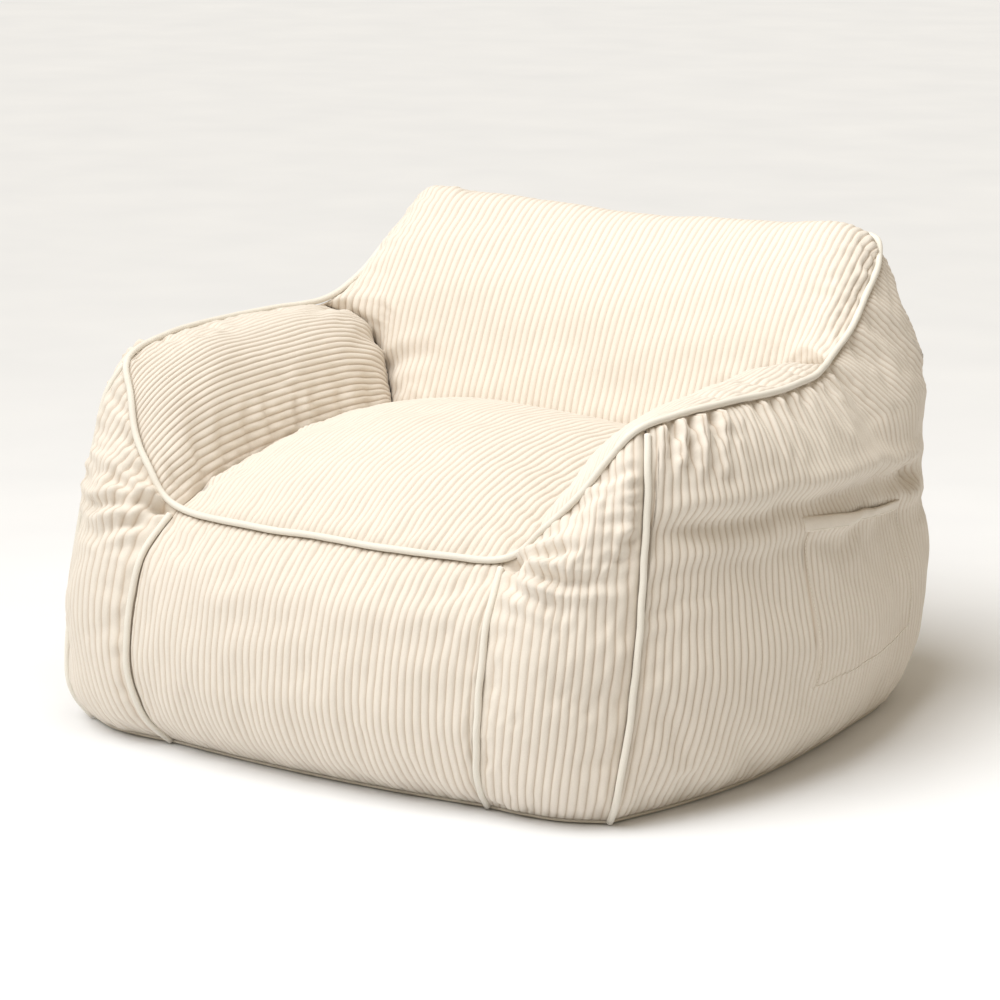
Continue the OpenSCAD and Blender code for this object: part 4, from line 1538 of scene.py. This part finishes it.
@dataclass(frozen=True)
class CorduroyFinish:
    """Cream corduroy: a soft pile on the crowns of the wales and a bare, warmer ground between them, with
    painted shade in the grooves and beside the seams.
    """

    crown: tuple = (0.765, 0.71, 0.635)
    # The groove colour is the bare ground's own warmer tone, darkened further as painted shade.
    groove: tuple = (0.56, 0.455, 0.355)
    # Colour of the painted shade where the cloth dips into a seam, also used on the inside faces.
    seam: tuple = (0.54, 0.445, 0.345)

    def make(self) -> bpy.types.Material:
        """Builds the material."""
        g = Graph("cream_corduroy")
        uv = g.node("ShaderNodeUVMap", {"uv_map": "cloth"}, {})
        pos = g.node("ShaderNodeTexCoord", {}, {}, "Object")
        rib = g.attribute("rib")
        tuck = g.attribute("tuck")
        pile = g.noise(g.scaled(uv, (1100, 420, 1)), 1.0, 3.0, 0.6)
        nap = g.noise(g.scaled(uv, (160, 35, 1)), 1.0, 2.0, 0.5)
        cloud = g.noise(pos, 5.5, 2.0, 0.5)
        # Colour from groove to crown: partly the ground's own tone, partly painted shade in the groove.
        shade = g.blend(rib ** 0.55, self.groove, self.crown)
        light = (pile - 0.5) * 0.16 + (nap - 0.5) * 0.10 + (cloud - 0.5) * 0.07 + 1.0
        toned = g.node("ShaderNodeHueSaturation", {}, {"Value": light, "Color": shade})
        # Painted shade: the colour darkens towards every seam and on the inside faces.
        colour = g.blend(tuck * 0.35, toned, self.seam)
        normal = g.bump(pile, 0.35, 0.0005, g.bump(nap, 0.25, 0.0009))
        return g.finish(colour, (pile - 0.5) * 0.1 + 0.93, normal, Sheen_Weight=0.22, Sheen_Roughness=0.45,
                        Sheen_Tint=(1, 0.96, 0.9, 1), Specular_IOR_Level=0.12)


@dataclass(frozen=True)
class WovenFinish:
    """A plain woven cloth.

    Attributes:
        name: the material's name.
        light, dark: the colours of the threads and of the gaps between them.
        threads: threads to the metre.
    """

    name: str
    light: tuple
    dark: tuple
    threads: float

    def make(self) -> bpy.types.Material:
        """Builds the material."""
        g = Graph(self.name)
        pos = g.node("ShaderNodeTexCoord", {}, {}, "Object")
        fine = g.noise(pos, self.threads, 2.0, 0.6)
        broad = g.noise(pos, 14.0, 2.0, 0.5)
        weave = g.node("ShaderNodeTexVoronoi", {"feature": "F1"},
                       {"Vector": pos, "Scale": self.threads * 0.8})
        share = (fine - 0.5) * 0.9 + (broad - 0.5) * 0.3 + 0.3
        colour = g.blend(share, self.light, self.dark)
        return g.finish(colour, (fine - 0.5) * 0.12 + 0.88,
                        g.bump(weave, 0.3, 0.0004, g.bump(fine, 0.25, 0.0004)), Sheen_Weight=0.12,
                        Specular_IOR_Level=0.15)


@dataclass(frozen=True)
class MetalFinish:
    """Satin metal with fine scratches.

    Attributes:
        name: the material's name.
        tone: its colour.
        rough: mean roughness.
    """

    name: str
    tone: tuple
    rough: float

    def make(self) -> bpy.types.Material:
        """Builds the material."""
        g = Graph(self.name)
        pos = g.node("ShaderNodeTexCoord", {}, {}, "Object")
        hair = g.noise(g.scaled(pos, (60, 900, 900)), 4.0, 3.0, 0.6)
        spots = g.noise(pos, 260.0, 3.0, 0.5)
        colour = g.blend(spots * 0.5, self.tone, tuple(c * 0.82 for c in self.tone))
        return g.finish(colour, (hair - 0.5) * 0.25 + self.rough, g.bump(hair, 0.12, 0.0001), Metallic=1.0)


@dataclass(frozen=True)
class PlasticFinish:
    """Moulded plastic.

    Attributes:
        name: the material's name.
        tone: its colour.
    """

    name: str
    tone: tuple

    def make(self) -> bpy.types.Material:
        """Builds the material."""
        g = Graph(self.name)
        pos = g.node("ShaderNodeTexCoord", {}, {}, "Object")
        grain = g.noise(pos, 1400.0, 3.0, 0.5)
        tint = g.noise(pos, 60.0, 2.0, 0.5)
        colour = g.blend(tint * 0.6, self.tone, tuple(c * 0.9 for c in self.tone))
        return g.finish(colour, (grain - 0.5) * 0.15 + 0.42, g.bump(grain, 0.1, 0.0001))


def dress(obj: bpy.types.Object, material: bpy.types.Material) -> None:
    """Gives an object one material."""
    obj.data.materials.clear()
    obj.data.materials.append(material)


# ------------------------------------------------------------------- studio


@dataclass
class Studio:
    """Pale floor, soft light and the camera.

    Attributes:
        azimuth, elevation: where the camera stands, in degrees.
        distance: how far it stands from its target.
        target: what it looks at.
        lens: focal length in millimetres on a 36 mm sensor.
        sun_power, sun_width: strength of the wide light, and its angle in degrees.
        box_power, box_size: power in watts and side in metres of the square light over the seat.
        air, air_power: colour and strength of the light from all round.
    """

    azimuth: float = 33.679
    elevation: float = 13.0
    distance: float = 4.5165
    target: tuple = (0.0024, 0.015, 0.2734)
    lens: float = 125.01
    sun_power: float = 2.4
    sun_width: float = 50.0
    box_power: float = 13.0
    box_size: float = 1.1
    air: tuple = (1.0, 0.865, 0.66, 1)
    air_power: float = 0.40

    def camera(self) -> None:
        """Places the camera."""
        a, e = math.radians(self.azimuth), math.radians(self.elevation)
        away = Vector((math.sin(a) * math.cos(e), -math.cos(a) * math.cos(e), math.sin(e)))
        data = bpy.data.cameras.new("camera")
        data.lens, data.sensor_width = self.lens, 36
        data.clip_end = 60
        obj = bpy.data.objects.new("camera", data)
        obj.location = Vector(self.target) + away * self.distance
        obj.rotation_euler = (-away).to_track_quat("-Z", "Y").to_euler()
        bpy.context.collection.objects.link(obj)
        bpy.context.scene.camera = obj

    def sun(self) -> None:
        """Adds one wide soft light from above the front, a little to the left."""
        data = bpy.data.lights.new("key", "SUN")
        data.energy, data.angle = self.sun_power, math.radians(self.sun_width)
        data.color = (0.965, 0.985, 1.0)
        obj = bpy.data.objects.new("key", data)
        obj.location = (-1.2, -2.4, 3.6)
        obj.rotation_euler = Vector((0.95, 1.95, -3.2)).to_track_quat("-Z", "Y").to_euler()
        bpy.context.collection.objects.link(obj)

    def softbox(self) -> None:
        """Adds a square light over the seat, which opens up the inside of the arms."""
        data = bpy.data.lights.new("over", "AREA")
        data.shape, data.size, data.energy = "SQUARE", self.box_size, self.box_power
        data.color = (1, 0.995, 0.985)
        obj = bpy.data.objects.new("over", data)
        obj.location = (0.15, -0.35, 1.9)
        bpy.context.collection.objects.link(obj)

    def floor(self) -> None:
        """Lays a wide pale floor."""
        bpy.ops.object.select_all(action="DESELECT")
        bpy.ops.mesh.primitive_plane_add(size=24, location=(0, 0, -0.0005))
        obj = bpy.context.object
        obj.name = "floor"
        obj.data.transform(obj.matrix_world)
        obj.matrix_world = Matrix.Identity(4)
        g = Graph("pale_floor")
        pos = g.node("ShaderNodeTexCoord", {}, {}, "Object")
        mottle = g.noise(pos, 3.0, 2.0, 0.5)
        dress(obj, g.finish(g.blend(mottle, (0.92, 0.93, 0.95), (0.835, 0.85, 0.88)), 0.8, None,
                            Specular_IOR_Level=0.1))

    def build(self) -> None:
        """Sets up floor, light and camera."""
        scene = bpy.context.scene
        world = bpy.data.worlds.new("studio")
        world.use_nodes = True
        world.node_tree.nodes["Background"].inputs[0].default_value = self.air
        world.node_tree.nodes["Background"].inputs[1].default_value = self.air_power
        scene.world = world
        scene.view_settings.view_transform = "Standard"
        self.floor()
        self.sun()
        self.softbox()
        self.camera()


# --------------------------------------------------------------------- main


def hide_inside() -> None:
    """Lets each closed panel stand for the liner and filling right behind it, which nothing shows."""
    behind = {"seat_panel": ("liner_base", "filling_base"), "backrest_panel": ("liner_back", "filling_back")}
    for side in Side:
        behind[f"arm_panel_{side.word}"] = (f"liner_arm_{side.word}", f"filling_arm_{side.word}")
    for panel, nodes in behind.items():
        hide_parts(*nodes)


def dress_zip_tapes(metal: bpy.types.Material) -> None:
    """Gives the zip's tapes, teeth and stops their finishes."""
    tape = WovenFinish("zip_tape_weave", (0.74, 0.69, 0.60), (0.60, 0.55, 0.46), 1500.0).make()
    teeth = PlasticFinish("zip_teeth_plastic", (0.80, 0.76, 0.68)).make()
    for name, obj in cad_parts.items():
        if "tape" in name:
            dress(obj, tape)
        elif "teeth" in name:
            dress(obj, teeth)
        elif "stop" in name:
            dress(obj, metal)


def main() -> None:
    """Builds the chair and the studio round it."""
    logging.basicConfig(level=logging.INFO, format="%(message)s")
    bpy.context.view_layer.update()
    Studio().build()
    cover = Cover()
    cover.ease()
    cover.crease()
    Filling().settle(cover)
    cloth = Corduroy()
    corduroy = CorduroyFinish().make()
    middle = (cover.front, cover.seat, cover.back, cover.upper, cover.lower)
    for patch, side in cover.pieces():
        obj = cloth.build(patch, side, patch in middle)
        dress(obj, corduroy)
        LOG.info("%s: %d faces", obj.name, len(obj.data.polygons))
    pocket = cover.pocket()
    trim = PocketTrim()
    thread = PlasticFinish("sewing_thread", (0.86, 0.81, 0.71)).make()
    for side in Side:
        for obj in (cloth.build(pocket, side, False), trim.hem(cloth, pocket, side)):
            dress(obj, corduroy)
        dress(trim.stitches(cloth, pocket, side), thread)
        LOG.info("pocket on the %s", side.word)
    hide_inside()
    piping = WovenFinish("piping_cloth", (0.80, 0.77, 0.70), (0.70, 0.65, 0.57), 900.0).make()
    for obj in Piping().build():
        dress(obj, piping)
        LOG.info("%s: %d faces", obj.name, len(obj.data.polygons))
    base = Base().build()
    dress(base, WovenFinish("base_weave", (0.70, 0.65, 0.56), (0.60, 0.55, 0.46), 700.0).make())
    satin = MetalFinish("zip_satin_metal", (0.66, 0.65, 0.63), 0.34).make()
    for obj in (Zip().slider(), Zip().pull()):
        dress(obj, satin)
    dress_zip_tapes(satin)


if __name__ == "__main__":
    main()
